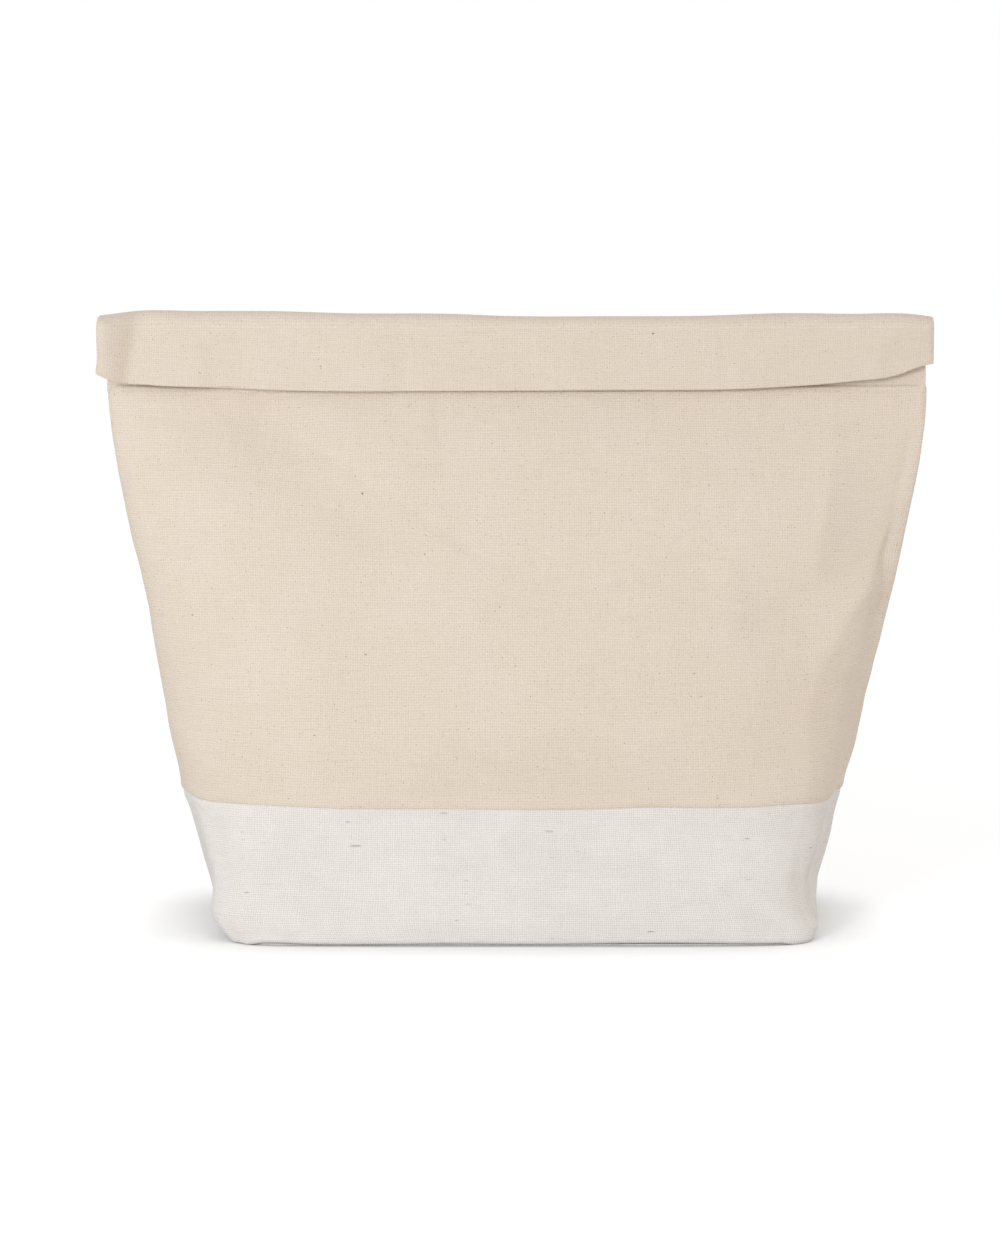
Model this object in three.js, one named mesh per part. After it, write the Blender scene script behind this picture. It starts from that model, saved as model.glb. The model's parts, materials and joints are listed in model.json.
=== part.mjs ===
// A box-bottomed insulated bag with a fold-over top, standing closed on its base.
// Millimetres, +Z up, the front faces -Y, the origin is the middle of the underside.
// The body is one fabric tube: its girth is the same at every height, a rounded box at the floor
// and a flat pinch at the band. The layers are parallel walls inside that tube.

import * as THREE from "three";

// Driving sizes of the tube
const BASE_WIDTH = 292;
const JUCO_SEAM_WIDTH = 344;
const BAND_FLAT_WIDTH = 434;
const JUCO_HEIGHT = 68.5;
const BODY_HEIGHT = 280;
const PINCH_DEPTH = 14;
const NECK_HEIGHT = 29.5;
const BASE_SQUARENESS = 13;
const BODY_SQUARENESS = 3;
const ROUND_OFF_HEIGHT = 115;
const SIDE_BOW = 0.93;

// Layers of the wall and of the base, outside to inside
const CANVAS = 0.8;
const FOAM = 3.5;
const FOAM_AT_BAND = 1;
const FOAM_TAPER = 30;
const LINING = 0.5;
const LINING_FOLD_RADIUS = 0.6;
const JUCO_BASE = 1;
const BOARD = 2;
const CLEARANCE = 0.3;

// The doubled band, its closure strips and the fold
const BAND = 1.4;
const NECK_HALF_GAP = 3.4;
const STRIP = 1.5;
const STRIP_WIDTH = 18;
const STRIP_LENGTH = 250;
const STRIP_DROP = 5;
const LIP_GAP = 0.4;
const PLY_END_CLEARANCE = 0.4;
const FOLD_RISE = 6;
const CUFF_HEIGHT = 41.3;
const CUFF_LEFT_RISE = 9;
const CUFF_LEFT_POWER = 6;
const CUFF_RIGHT_RISE = 15.5;
const CUFF_RIGHT_POWER = 3;
const LIP_STEP = 0.8;

// Fineness of the facets
const JUCO_LEVELS = 3;
const BODY_LEVELS = 6;
const TAPER_LEVELS = 3;
const EDGE_STEPS = 24;
const ARCH_STEPS = 10;
const TABLE_STEPS = 240;
const HALVINGS = 40;
const LEAST_FACET = 1;
const CORNER_REACH = 20;
const SEAM_REACH = 18;

// Heights of the fold axis and of the place where the tube is first pinched flat
const FOLD_AXIS_HEIGHT = BODY_HEIGHT + NECK_HEIGHT;
const PINCH_HEIGHT = BODY_HEIGHT - PINCH_DEPTH;

// Half sizes of the outer section, with its least core where the tube is pinched flat
const SIDE_RADIUS = CANVAS + FOAM + LINING + 2 * CLEARANCE + LINING_FOLD_RADIUS;
const FLAT_CORE = 0.2;
const GIRTH = 2 * BAND_FLAT_WIDTH;
const BAND_HALF_WIDTH = (GIRTH / 2 - Math.PI * SIDE_RADIUS) / 2 + SIDE_RADIUS;

function ease(from, to, share) {
  return from + (to - from) * Math.min(1, Math.max(0, share));
}

// Half width of the outer section: it flares over the juco and bows a little up to the band
function halfWidth(z) {
  if (z < JUCO_HEIGHT) {
    return ease(BASE_WIDTH / 2, JUCO_SEAM_WIDTH / 2, z / JUCO_HEIGHT);
  }
  const share = Math.min(1, (z - JUCO_HEIGHT) / (PINCH_HEIGHT - JUCO_HEIGHT));
  return ease(JUCO_SEAM_WIDTH / 2, BAND_HALF_WIDTH, share ** SIDE_BOW);
}

// How square the section is: a box at the floor that rounds off towards the band
function squareness(z) {
  const boxy = Math.max(0, 1 - z / ROUND_OFF_HEIGHT);
  return ease(BODY_SQUARENESS, BASE_SQUARENESS, boxy ** 2);
}

// One quarter of a section, from the front centre (x = 0) to the side seam (y = 0)
function quarterPoint(core, angle) {
  const s = Math.sin(angle);
  const c = Math.cos(angle);
  const scale = (s ** core.power + c ** core.power) ** (-1 / core.power);
  const x = s * scale;
  const y = c * scale;
  const normal = new THREE.Vector2(x ** (core.power - 1) / core.halfX, y ** (core.power - 1) / core.halfY);
  normal.normalize();
  return { place: new THREE.Vector2(core.halfX * x, core.halfY * y), normal };
}

// Lengths along the outer curve of a quarter at even angles
function quarterTable(core) {
  const lengths = [0];
  let last = null;
  for (let i = 0; i <= TABLE_STEPS; i += 1) {
    const { place, normal } = quarterPoint(core, (Math.PI / 2) * (i / TABLE_STEPS));
    const outer = place.addScaledVector(normal, SIDE_RADIUS);
    if (last) {
      lengths.push(lengths[i - 1] + outer.distanceTo(last));
    }
    last = outer;
  }
  return lengths;
}

// The section at a height: its depth is what makes the girth come out the same
const sections = new Map();
function sectionAt(z) {
  if (sections.has(z)) {
    return sections.get(z);
  }
  const core = { halfX: halfWidth(z) - SIDE_RADIUS, halfY: FLAT_CORE, power: squareness(z) };
  let low = FLAT_CORE;
  let high = GIRTH / 2;
  for (let i = 0; i < HALVINGS; i += 1) {
    core.halfY = (low + high) / 2;
    const length = quarterTable(core)[TABLE_STEPS];
    if (length < GIRTH / 4) {
      low = core.halfY;
    } else {
      high = core.halfY;
    }
  }
  const section = { core, lengths: quarterTable(core) };
  sections.set(z, section);
  return section;
}

// A point of the wall: along is the distance around the cloth from the front centre,
// positive to the right, and inset is how far inside the outer face it lies
function wallPoint(along, z, inset) {
  const { core, lengths } = sectionAt(z);
  const around = Math.abs(along);
  const back = around > GIRTH / 4;
  const quarter = back ? GIRTH / 2 - around : around;
  const target = (quarter / (GIRTH / 4)) * lengths[TABLE_STEPS];
  let i = 1;
  while (i < TABLE_STEPS && lengths[i] < target) {
    i += 1;
  }
  const share = (target - lengths[i - 1]) / (lengths[i] - lengths[i - 1]);
  const { place, normal } = quarterPoint(core, (Math.PI / 2) * ((i - 1 + share) / TABLE_STEPS));
  place.addScaledVector(normal, SIDE_RADIUS - inset);
  return new THREE.Vector3(Math.sign(along) * place.x, back ? place.y : -place.y, z);
}

// Distance around the cloth from the front centre to the middle of a bottom corner
function cornerAlong() {
  const { core, lengths } = sectionAt(0);
  let i = 1;
  while (quarterPoint(core, (Math.PI / 2) * (i / TABLE_STEPS)).normal.angle() > Math.PI / 4) {
    i += 1;
  }
  return lengths[i];
}

// Marks along the cloth where columns of facets stand closer: the corners and the side seams
const SIDE_SEAM = GIRTH / 4;
const CORNER = cornerAlong();
const ZONES = [
  [0, CORNER - CORNER_REACH, 4],
  [CORNER - CORNER_REACH, CORNER, 3],
  [CORNER, CORNER + CORNER_REACH, 3],
  [CORNER + CORNER_REACH, SIDE_SEAM - SEAM_REACH, 1],
  [SIDE_SEAM - SEAM_REACH, SIDE_SEAM, 4],
];

// The columns from one mark to another around the whole girth, wrapping at the back centre
function columns(from, to) {
  const marks = new Set();
  for (const [start, end, count] of ZONES) {
    for (let i = 0; i <= count; i += 1) {
      const along = ease(start, end, i / count);
      for (const mark of [along, GIRTH / 2 - along]) {
        marks.add(mark);
        marks.add(-mark);
        marks.add(GIRTH - mark);
      }
    }
  }
  const columnMarks = [from];
  for (const mark of [...marks].sort((a, b) => a - b)) {
    if (mark > columnMarks.at(-1) + LEAST_FACET && mark < to - LEAST_FACET) {
      columnMarks.push(mark);
    }
  }
  return [...columnMarks, to];
}

function wrapped(along) {
  return along > GIRTH / 2 ? along - GIRTH : along;
}

function evenly(from, to, count) {
  return Array.from({ length: count + 1 }, (_, i) => ease(from, to, i / count));
}

// Heights of the base stack
const BOARD_FLOOR = JUCO_BASE + CLEARANCE;
const FOAM_FLOOR = BOARD_FLOOR + BOARD + CLEARANCE;
const LINING_FLOOR = FOAM_FLOOR + FOAM + CLEARANCE;
const LINING_WALL_FOOT = LINING_FLOOR + LINING + CLEARANCE;
const WALL_TOP = BODY_HEIGHT - CLEARANCE / 2;

// The rows of facets, shared by all layers so that their facets lie parallel
const ROWS = [
  ...evenly(LINING_WALL_FOOT, JUCO_HEIGHT, JUCO_LEVELS),
  ...evenly(JUCO_HEIGHT, PINCH_HEIGHT - FOAM_TAPER, BODY_LEVELS),
  ...evenly(PINCH_HEIGHT - FOAM_TAPER, PINCH_HEIGHT, TAPER_LEVELS),
];
function levels(from, to) {
  const inside = ROWS.filter((z, i) => z > from + LEAST_FACET && z < to - LEAST_FACET && z !== ROWS[i - 1]);
  return [from, ...inside, to];
}

// A closed panel of wall between two marks along the cloth and two heights
function panel(from, to, heights, outerInset, innerInset) {
  const marks = columns(from + CLEARANCE / 2, to - CLEARANCE / 2);
  const rows = heights.length;
  const across = marks.length;
  const positions = [];
  for (const inset of [outerInset, innerInset]) {
    for (const z of heights) {
      for (const mark of marks) {
        positions.push(...wallPoint(wrapped(mark), z, inset(z)).toArray());
      }
    }
  }
  const indices = [];
  const quad = (a, b, c, d) => indices.push(a, b, c, a, c, d);
  const at = (side, row, column) => side * rows * across + row * across + column;
  for (let r = 0; r < rows - 1; r += 1) {
    for (let c = 0; c < across - 1; c += 1) {
      quad(at(0, r, c), at(0, r, c + 1), at(0, r + 1, c + 1), at(0, r + 1, c));
      quad(at(1, r, c), at(1, r + 1, c), at(1, r + 1, c + 1), at(1, r, c + 1));
    }
    quad(at(0, r, 0), at(0, r + 1, 0), at(1, r + 1, 0), at(1, r, 0));
    quad(at(0, r, across - 1), at(1, r, across - 1), at(1, r + 1, across - 1), at(0, r + 1, across - 1));
  }
  for (let c = 0; c < across - 1; c += 1) {
    quad(at(0, 0, c), at(1, 0, c), at(1, 0, c + 1), at(0, 0, c + 1));
    quad(at(0, rows - 1, c), at(0, rows - 1, c + 1), at(1, rows - 1, c + 1), at(1, rows - 1, c));
  }
  const geometry = new THREE.BufferGeometry();
  geometry.setAttribute("position", new THREE.Float32BufferAttribute(positions, 3));
  geometry.setIndex(indices);
  geometry.computeVertexNormals();
  return geometry;
}

// A flat panel of the base, cut to clear the wall at both its faces
function basePlate(z, thickness, inset) {
  const nearer = (a, b) => (Math.abs(a) < Math.abs(b) ? a : b);
  const marks = columns(-GIRTH / 2, GIRTH / 2).slice(0, -1);
  const outline = new THREE.Shape(marks.map((mark) => {
    const below = wallPoint(mark, z, inset);
    const above = wallPoint(mark, z + thickness, inset);
    return new THREE.Vector2(nearer(below.x, above.x), nearer(below.y, above.y));
  }));
  const geometry = new THREE.ExtrudeGeometry(outline, { depth: thickness, bevelEnabled: false });
  geometry.translate(0, 0, z);
  return geometry;
}

const group = new THREE.Group();
function add(name, geometry, finish) {
  const mesh = new THREE.Mesh(geometry, new THREE.MeshStandardMaterial(finish));
  mesh.name = name;
  group.add(mesh);
}

const CANVAS_CLOTH = { color: "#e2d6c6", roughness: 0.95, metalness: 0 };
const JUCO_CLOTH = { color: "#e8e3dd", roughness: 0.97, metalness: 0 };
const FOAM_SHEET = { color: "#f1f1ee", roughness: 0.8, metalness: 0 };
const FOIL = { color: "#c9ccd0", roughness: 0.35, metalness: 0.9 };
const BOARD_SHEET = { color: "#cfd0cd", roughness: 0.6, metalness: 0 };
const TAPE = { color: "#ddd6ca", roughness: 0.9, metalness: 0 };

// Insets of the layers from the outer face; the foam is pressed thin at the band seam
const OUTER_FACE = 0;
const FOAM_FACE = CANVAS + CLEARANCE;
function foamThickness(z) {
  return ease(FOAM_AT_BAND, FOAM, (PINCH_HEIGHT - z) / FOAM_TAPER);
}
function foamBack(z) {
  return FOAM_FACE + foamThickness(z);
}
function liningFace(z) {
  return foamBack(z) + CLEARANCE;
}
function liningBack(z) {
  return liningFace(z) + LINING;
}

function outerSkins() {
  const juco = levels(0, JUCO_HEIGHT - CLEARANCE / 2);
  const canvas = levels(JUCO_HEIGHT + CLEARANCE / 2, WALL_TOP);
  for (const [side, from] of [["front", -SIDE_SEAM], ["back", SIDE_SEAM]]) {
    const to = from + GIRTH / 2;
    add(`juco_wall_${side}`, panel(from, to, juco, () => OUTER_FACE, () => CANVAS), JUCO_CLOTH);
    add(`canvas_${side}`, panel(from, to, canvas, () => OUTER_FACE, () => CANVAS), CANVAS_CLOTH);
  }
  add("juco_base", basePlate(0, JUCO_BASE, FOAM_FACE), JUCO_CLOTH);
}

// Foam and foil lining: four wall panels each, which meet along lines up from the bottom corners
function innerWalls() {
  const foam = levels(BOARD_FLOOR, WALL_TOP);
  const lining = levels(LINING_WALL_FOOT, WALL_TOP);
  const sides = [
    ["front", -CORNER, CORNER],
    ["right", CORNER, GIRTH / 2 - CORNER],
    ["back", GIRTH / 2 - CORNER, GIRTH / 2 + CORNER],
    ["left", CORNER - GIRTH / 2, -CORNER],
  ];
  for (const [side, from, to] of sides) {
    add(`foam_${side}`, panel(from, to, foam, () => FOAM_FACE, foamBack), FOAM_SHEET);
    add(`lining_${side}`, panel(from, to, lining, liningFace, liningBack), FOIL);
  }
}

function baseStack() {
  const inset = FOAM_FACE + FOAM + CLEARANCE;
  add("base_board", basePlate(BOARD_FLOOR, BOARD, inset), BOARD_SHEET);
  add("foam_base", basePlate(FOAM_FLOOR, FOAM, inset), FOAM_SHEET);
  add("lining_base", basePlate(LINING_FLOOR, LINING, inset), FOIL);
}

// The neck: the part of the band between the seam and the fold
function neck() {
  const heights = levels(BODY_HEIGHT + CLEARANCE / 2, FOLD_AXIS_HEIGHT - PLY_END_CLEARANCE);
  const inner = SIDE_RADIUS + FLAT_CORE - NECK_HALF_GAP;
  const outer = inner - BAND;
  for (const [side, from] of [["front", -SIDE_SEAM], ["back", SIDE_SEAM]]) {
    const to = from + GIRTH / 2;
    add(`neck_band_${side}`, panel(from, to, heights, () => outer, () => inner), CANVAS_CLOTH);
  }
}

// Depths of the folded stack in front of the neck, and the fold axis midway between the two plies
const NECK_FACE = NECK_HALF_GAP + BAND;
const HOOK_BACK = NECK_FACE + CLEARANCE;
const LOOP_BACK = HOOK_BACK + STRIP + CLEARANCE;
const FRONT_LIP_BACK = LOOP_BACK + STRIP + CLEARANCE;
const BACK_LIP_BACK = FRONT_LIP_BACK + BAND + LIP_GAP;
const FOLD_AXIS_Y = -(NECK_FACE + FRONT_LIP_BACK) / 2;
const CUFF_TOP = FOLD_AXIS_HEIGHT - PLY_END_CLEARANCE;
const FOLD_FOOT = CUFF_TOP + CLEARANCE;
const CUFF_EDGE = FOLD_AXIS_HEIGHT + FOLD_RISE - CUFF_HEIGHT;
const CUFF_HALF_WIDTH = BAND_FLAT_WIDTH / 2;

// An outline in X and Z, given its thickness towards the front and the depth of its back face
function upright(outline, thickness, backFace) {
  const geometry = new THREE.ExtrudeGeometry(outline, { depth: thickness, bevelEnabled: false });
  geometry.rotateX(Math.PI / 2);
  geometry.translate(0, -backFace, 0);
  return geometry;
}

// Height of the mouth edge of the folded cuff, which rises towards both ends
function mouthEdge(x) {
  const share = Math.abs(x) / CUFF_HALF_WIDTH;
  const left = CUFF_LEFT_RISE * share ** CUFF_LEFT_POWER;
  const right = CUFF_RIGHT_RISE * share ** CUFF_RIGHT_POWER;
  return CUFF_EDGE + (x < 0 ? left : right);
}

function lip(step) {
  const outline = new THREE.Shape();
  outline.moveTo(CUFF_HALF_WIDTH, CUFF_TOP);
  outline.lineTo(-CUFF_HALF_WIDTH, CUFF_TOP);
  for (let i = 0; i <= EDGE_STEPS; i += 1) {
    const x = ease(-CUFF_HALF_WIDTH, CUFF_HALF_WIDTH, i / EDGE_STEPS);
    outline.lineTo(x, mouthEdge(x) + step);
  }
  return outline;
}

function strip() {
  const outline = new THREE.Shape();
  const top = CUFF_TOP - STRIP_DROP;
  outline.moveTo(-STRIP_LENGTH / 2, top);
  outline.lineTo(-STRIP_LENGTH / 2, top - STRIP_WIDTH);
  outline.lineTo(STRIP_LENGTH / 2, top - STRIP_WIDTH);
  outline.lineTo(STRIP_LENGTH / 2, top);
  return outline;
}

// A ply bent over the fold: an arch in Y and Z, as long as the cuff is wide
function fold(middle, halfSpan, rise, thickness) {
  const arch = (span, height, i) => {
    const angle = Math.PI * (i / ARCH_STEPS);
    return new THREE.Vector2(middle + span * Math.cos(angle), height * Math.sin(angle));
  };
  const steps = evenly(0, ARCH_STEPS, ARCH_STEPS);
  const outer = steps.map((i) => arch(halfSpan, rise, i));
  const inner = steps.map((i) => arch(halfSpan - thickness, rise - thickness, ARCH_STEPS - i));
  const outline = new THREE.Shape([...outer, ...inner]);
  const geometry = new THREE.ExtrudeGeometry(outline, { depth: 2 * CUFF_HALF_WIDTH, bevelEnabled: false });
  geometry.rotateX(Math.PI / 2);
  geometry.rotateZ(Math.PI / 2);
  geometry.translate(-CUFF_HALF_WIDTH, 0, FOLD_FOOT);
  return geometry;
}

function cuff() {
  add("hook_strip", upright(strip(), STRIP, HOOK_BACK), TAPE);
  add("loop_strip", upright(strip(), STRIP, LOOP_BACK), TAPE);
  add("front_lip", upright(lip(LIP_STEP), BAND, FRONT_LIP_BACK), CANVAS_CLOTH);
  add("back_lip", upright(lip(0), BAND, BACK_LIP_BACK), CANVAS_CLOTH);
  const frontSpan = (FRONT_LIP_BACK + BAND - NECK_HALF_GAP) / 2;
  add("front_fold", fold(FOLD_AXIS_Y, frontSpan, frontSpan, BAND), CANVAS_CLOTH);
  const backSpan = (BACK_LIP_BACK + BAND + NECK_FACE) / 2;
  const backMiddle = NECK_FACE - backSpan;
  const backRise = FOLD_AXIS_HEIGHT + FOLD_RISE - FOLD_FOOT;
  add("back_fold", fold(backMiddle, backSpan, backRise, BAND), CANVAS_CLOTH);
}

outerSkins();
innerWalls();
baseStack();
neck();
cuff();

export default group;
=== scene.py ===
# A box-bottomed insulated bag with a fold-over top: cream canvas above, coarse juco below.
# Lengths are millimetres here and become metres where a mesh, a lamp or the camera is made.
# The wall is one fabric tube that is simulated once, and every layer of the wall follows it.

import json
import math

import bpy
import numpy as np
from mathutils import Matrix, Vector


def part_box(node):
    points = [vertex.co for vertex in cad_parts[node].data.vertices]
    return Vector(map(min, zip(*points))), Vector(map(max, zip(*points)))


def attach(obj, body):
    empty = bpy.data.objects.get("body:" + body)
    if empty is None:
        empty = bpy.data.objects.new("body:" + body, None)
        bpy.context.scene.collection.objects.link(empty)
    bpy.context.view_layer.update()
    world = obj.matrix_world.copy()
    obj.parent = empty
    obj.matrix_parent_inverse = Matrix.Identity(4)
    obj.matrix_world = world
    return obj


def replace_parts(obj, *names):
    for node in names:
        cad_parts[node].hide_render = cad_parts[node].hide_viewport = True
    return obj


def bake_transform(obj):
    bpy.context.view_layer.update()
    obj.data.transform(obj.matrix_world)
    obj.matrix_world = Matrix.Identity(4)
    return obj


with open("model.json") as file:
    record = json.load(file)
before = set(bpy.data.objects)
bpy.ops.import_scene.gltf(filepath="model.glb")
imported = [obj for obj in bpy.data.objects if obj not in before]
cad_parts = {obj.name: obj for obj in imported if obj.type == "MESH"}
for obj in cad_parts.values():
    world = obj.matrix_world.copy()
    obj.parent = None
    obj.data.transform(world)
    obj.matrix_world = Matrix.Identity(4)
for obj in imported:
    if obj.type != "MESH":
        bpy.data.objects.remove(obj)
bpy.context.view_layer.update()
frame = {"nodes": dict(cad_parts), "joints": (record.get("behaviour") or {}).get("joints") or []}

MM = 0.001


def corners(node):
    """Lowest and highest corner of a solid, in millimetres."""
    low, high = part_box(node)
    return np.array(low) / MM, np.array(high) / MM


# Sizes that come from the solids
_, juco_high = corners("juco_wall_front")
canvas_low, canvas_high = corners("canvas_front")
neck_low, neck_high = corners("neck_band_back")
lip_low, lip_high = corners("back_lip")
inner_lip_low, inner_lip_high = corners("front_lip")
_, fold_high = corners("back_fold")
hook_low, hook_high = corners("hook_strip")
loop_low, loop_high = corners("loop_strip")
board_low, _ = corners("base_board")
foam_base_low, foam_base_high = corners("foam_base")
lining_base_low, lining_base_high = corners("lining_base")
hinge = {joint["name"]: np.array(joint["pos_m"]) / MM for joint in frame["joints"]}

JUCO_HEIGHT = (juco_high[2] + canvas_low[2]) / 2
BODY_HEIGHT = (canvas_high[2] + neck_low[2]) / 2
SEAM_HALF_WIDTH = juco_high[0]
BAND_HALF_WIDTH = canvas_high[0]
CUFF_HALF_WIDTH = lip_high[0]
GIRTH = 4 * CUFF_HALF_WIDTH
SIDE_SEAM = GIRTH / 4
BAND = lip_high[1] - lip_low[1]
FOLD_HEIGHT = hinge["top_fold"][2]
NECK_Y = neck_high[1] - BAND / 2
CUFF_Y = (lip_low[1] + lip_high[1]) / 2
INNER_LIP_Y = (inner_lip_low[1] + inner_lip_high[1]) / 2

# Driving sizes of the tube's section, as the solids have them
BASE_HALF_WIDTH = 146
SIDE_RADIUS = 6
PINCH_LENGTH = 14
PINCH_HEIGHT = BODY_HEIGHT - PINCH_LENGTH
SIDE_BOW = 0.93
BODY_SQUARENESS = 3
BASE_SQUARENESS = 18
ROUND_OFF_HEIGHT = 115
CORNER = 141.6

# Layers, from the outside: distance of each outer face from the outer skin, and thickness
CLOTH = 0.8
FOAM_INSET = 1.9
FOAM = 3.5
FOAM_AT_BAND = 1
FOAM_TAPER = 30
LINING = 0.5
LAYER_GAP = 0.3


# Small helpers

def ease(value):
    """A smooth step from 0 to 1."""
    value = np.clip(value, 0, 1)
    return value * value * (3 - 2 * value)


def shown(value, start, rise, end, fall):
    """1 between two places, and 0 outside them. It rises after the first and falls before the second."""
    return ease((value - start) / rise) * ease((end - value) / fall)


def between(low, high, share):
    return low + (high - low) * share


def bell(value, centre, width):
    return np.exp(-(((value - centre) / width) ** 2))


def smooth_curve(points):
    """A smooth function through a few (place, value) points."""
    places = np.array([place for place, _ in points], float)
    values = np.array([value for _, value in points], float)
    slopes = np.gradient(values, places)

    def curve(x):
        x = np.clip(x, places[0], places[-1])
        i = np.clip(np.searchsorted(places, x, side="right") - 1, 0, len(places) - 2)
        step = places[i + 1] - places[i]
        t = (x - places[i]) / step
        start = (2 * t**3 - 3 * t**2 + 1) * values[i] + (t**3 - 2 * t**2 + t) * slopes[i] * step
        end = (3 * t**2 - 2 * t**3) * values[i + 1] + (t**3 - t**2) * slopes[i + 1] * step
        return start + end

    return curve


def unevenness(seed, shortest, longest, count=14):
    """A smooth random surface of about unit height, made of sine waves in all directions."""
    rng = np.random.default_rng(seed)
    length = rng.uniform(shortest, longest, count)
    angle = rng.uniform(0, math.pi, count)
    phase = rng.uniform(0, 2 * math.pi, count)

    def height(a, b):
        total = 0
        for i in range(count):
            along_wave = (a * math.cos(angle[i]) + b * math.sin(angle[i])) / length[i]
            total = total + np.sin(2 * math.pi * along_wave + phase[i])
        return total / math.sqrt(count / 2)

    return height


def quads(index):
    """The faces of a grid of vertex numbers."""
    a, b, c, d = index[:-1, :-1], index[:-1, 1:], index[1:, 1:], index[1:, :-1]
    return np.stack([a, b, c, d], -1).reshape(-1, 4)


def round_quads(index):
    """The faces of a grid whose last column is joined to its first."""
    return quads(np.column_stack([index, index[:, 0]]))


# Camera: a little above the fold, looking slightly down as the photograph's camera did

EYE = (-8.5, -1834, 345)
LOOK_DOWN = 5.93
LENS = 101.4
SENSOR = 36


def add_camera():
    data = bpy.data.cameras.new("camera")
    data.lens = LENS
    data.sensor_width = SENSOR
    camera = bpy.data.objects.new("camera", data)
    camera.location = Vector(EYE) * MM
    camera.rotation_euler = (math.radians(90 - LOOK_DOWN), 0, 0)
    bpy.context.scene.collection.objects.link(camera)
    bpy.context.scene.camera = camera


# The tube before it settles: the solids' section, with the two sides as photographed, each as
# height above the floor and half width there

LEFT_SIDE = smooth_curve([
    (0, 145.5), (5, 151.5), (10, 157), (20, 160.5), (45, 167.6), (57, 171), (68, 175), (73, 175.8),
    (107, 181.7), (133, 186.4), (170, 192.3), (208, 202.7), (233, 207.6), (258, 210.9), (271, 212.4),
    (290, 212.4),
])
RIGHT_SIDE = smooth_curve([
    (0, 150.5), (5, 155), (10, 157.5), (20, 158.5), (45, 165.8), (57, 168.2), (70, 172), (95, 178.9),
    (107, 180.8), (120, 183.1), (157, 192.7), (183, 199.2), (207, 203.8), (245, 211.3), (266, 213.5),
    (290, 213.5),
])
SECTION_POINTS = 241
HALVINGS = 30
LEAST_HALF_DEPTH = 0.2
SOFT_FROM = 190.0
SOFT_OVER = 30
SOFTENING = 14
BOW = 5.5
BOW_HEIGHT = 60.0
BOW_HALF_WIDTH = 158
BOW_SQUARENESS = 6
SLACK = 0.006


def half_width(z):
    if z < JUCO_HEIGHT:
        return between(BASE_HALF_WIDTH, SEAM_HALF_WIDTH, z / JUCO_HEIGHT)
    share = min(1, (z - JUCO_HEIGHT) / (PINCH_HEIGHT - JUCO_HEIGHT))
    return between(SEAM_HALF_WIDTH, BAND_HALF_WIDTH, share**SIDE_BOW)


def quarter_section(z, half_depth):
    """Points from the front centre to the side: a superellipse grown by the side radius."""
    power = between(BODY_SQUARENESS, BASE_SQUARENESS, max(0, 1 - z / ROUND_OFF_HEIGHT) ** 2)
    angles = np.linspace(0, math.pi / 2, SECTION_POINTS)
    s, c = np.sin(angles), np.cos(angles)
    scale = (s**power + c**power) ** (-1 / power)
    x, y = s * scale, c * scale
    core = half_width(z) - SIDE_RADIUS
    normal = np.stack([x ** (power - 1) / core, y ** (power - 1) / half_depth], 1)
    normal /= np.linalg.norm(normal, axis=1)[:, None]
    points = np.stack([core * x, half_depth * y], 1) + SIDE_RADIUS * normal
    steps = np.linalg.norm(np.diff(points, axis=0), axis=1)
    return points, np.concatenate([[0], np.cumsum(steps)])


def section(z, along):
    """Points of the outer face at one height, at distances round the cloth from the front centre.
    The depth is what makes the girth come out the same at every height."""
    low, high = LEAST_HALF_DEPTH, GIRTH / 2
    for _ in range(HALVINGS):
        points, lengths = quarter_section(z, (low + high) / 2)
        if lengths[-1] < SIDE_SEAM:
            low = (low + high) / 2
        else:
            high = (low + high) / 2
    around = np.abs(along)
    back = around > SIDE_SEAM
    near = np.where(back, GIRTH / 2 - around, around) / SIDE_SEAM * lengths[-1]
    x = np.sign(along) * np.interp(near, lengths, points[:, 0])
    y = np.interp(near, lengths, points[:, 1])
    return x, np.where(back, y, -y)


# The grid of the tube: columns round the girth, rows up the cloth

COLUMNS = 176
ROWS = 58
CLOTH_HEIGHT = 291.0
FOOT_RADIUS = 2.0
column_along = GIRTH * (np.arange(COLUMNS) / COLUMNS - 0.5)
row_up = np.linspace(0, CLOTH_HEIGHT, ROWS)


def height_of(up):
    """Height above the floor of a place on the cloth, before it settles."""
    return between(FOOT_RADIUS, BODY_HEIGHT, up / CLOTH_HEIGHT)


def up_of(z):
    return (z - FOOT_RADIUS) / (BODY_HEIGHT - FOOT_RADIUS) * CLOTH_HEIGHT


def soften_top(rows):
    """The front and back run into the flat band in a soft curve."""
    depth = rows[:, :, 1]
    for _ in range(SOFTENING):
        inner = (depth[:-2] + 2 * depth[1:-1] + depth[2:]) / 4
        share = ease((height_of(row_up[1:-1]) - SOFT_FROM) / SOFT_OVER)[:, None]
        depth[1:-1] = between(depth[1:-1], inner, share)
    return rows


def start_tube():
    """The tube as it is sewn. Its front and back bow out a little at the foot."""
    rows = []
    for up in row_up:
        z = float(height_of(up))
        x, y = section(z, column_along)
        share = ease(np.abs(x) / half_width(z))
        x = x + share * np.where(x < 0, half_width(z) - LEFT_SIDE(z), RIGHT_SIDE(z) - half_width(z))
        flat = 1 - np.clip(np.abs(x) / BOW_HALF_WIDTH, 0, 1) ** BOW_SQUARENESS
        bow = BOW * (1 - ease(z / BOW_HEIGHT)) * flat
        rows.append(np.stack([x, y - np.where(y < 0, bow, -bow), np.full(COLUMNS, z)], 1))
    return soften_top(np.array(rows))


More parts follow.
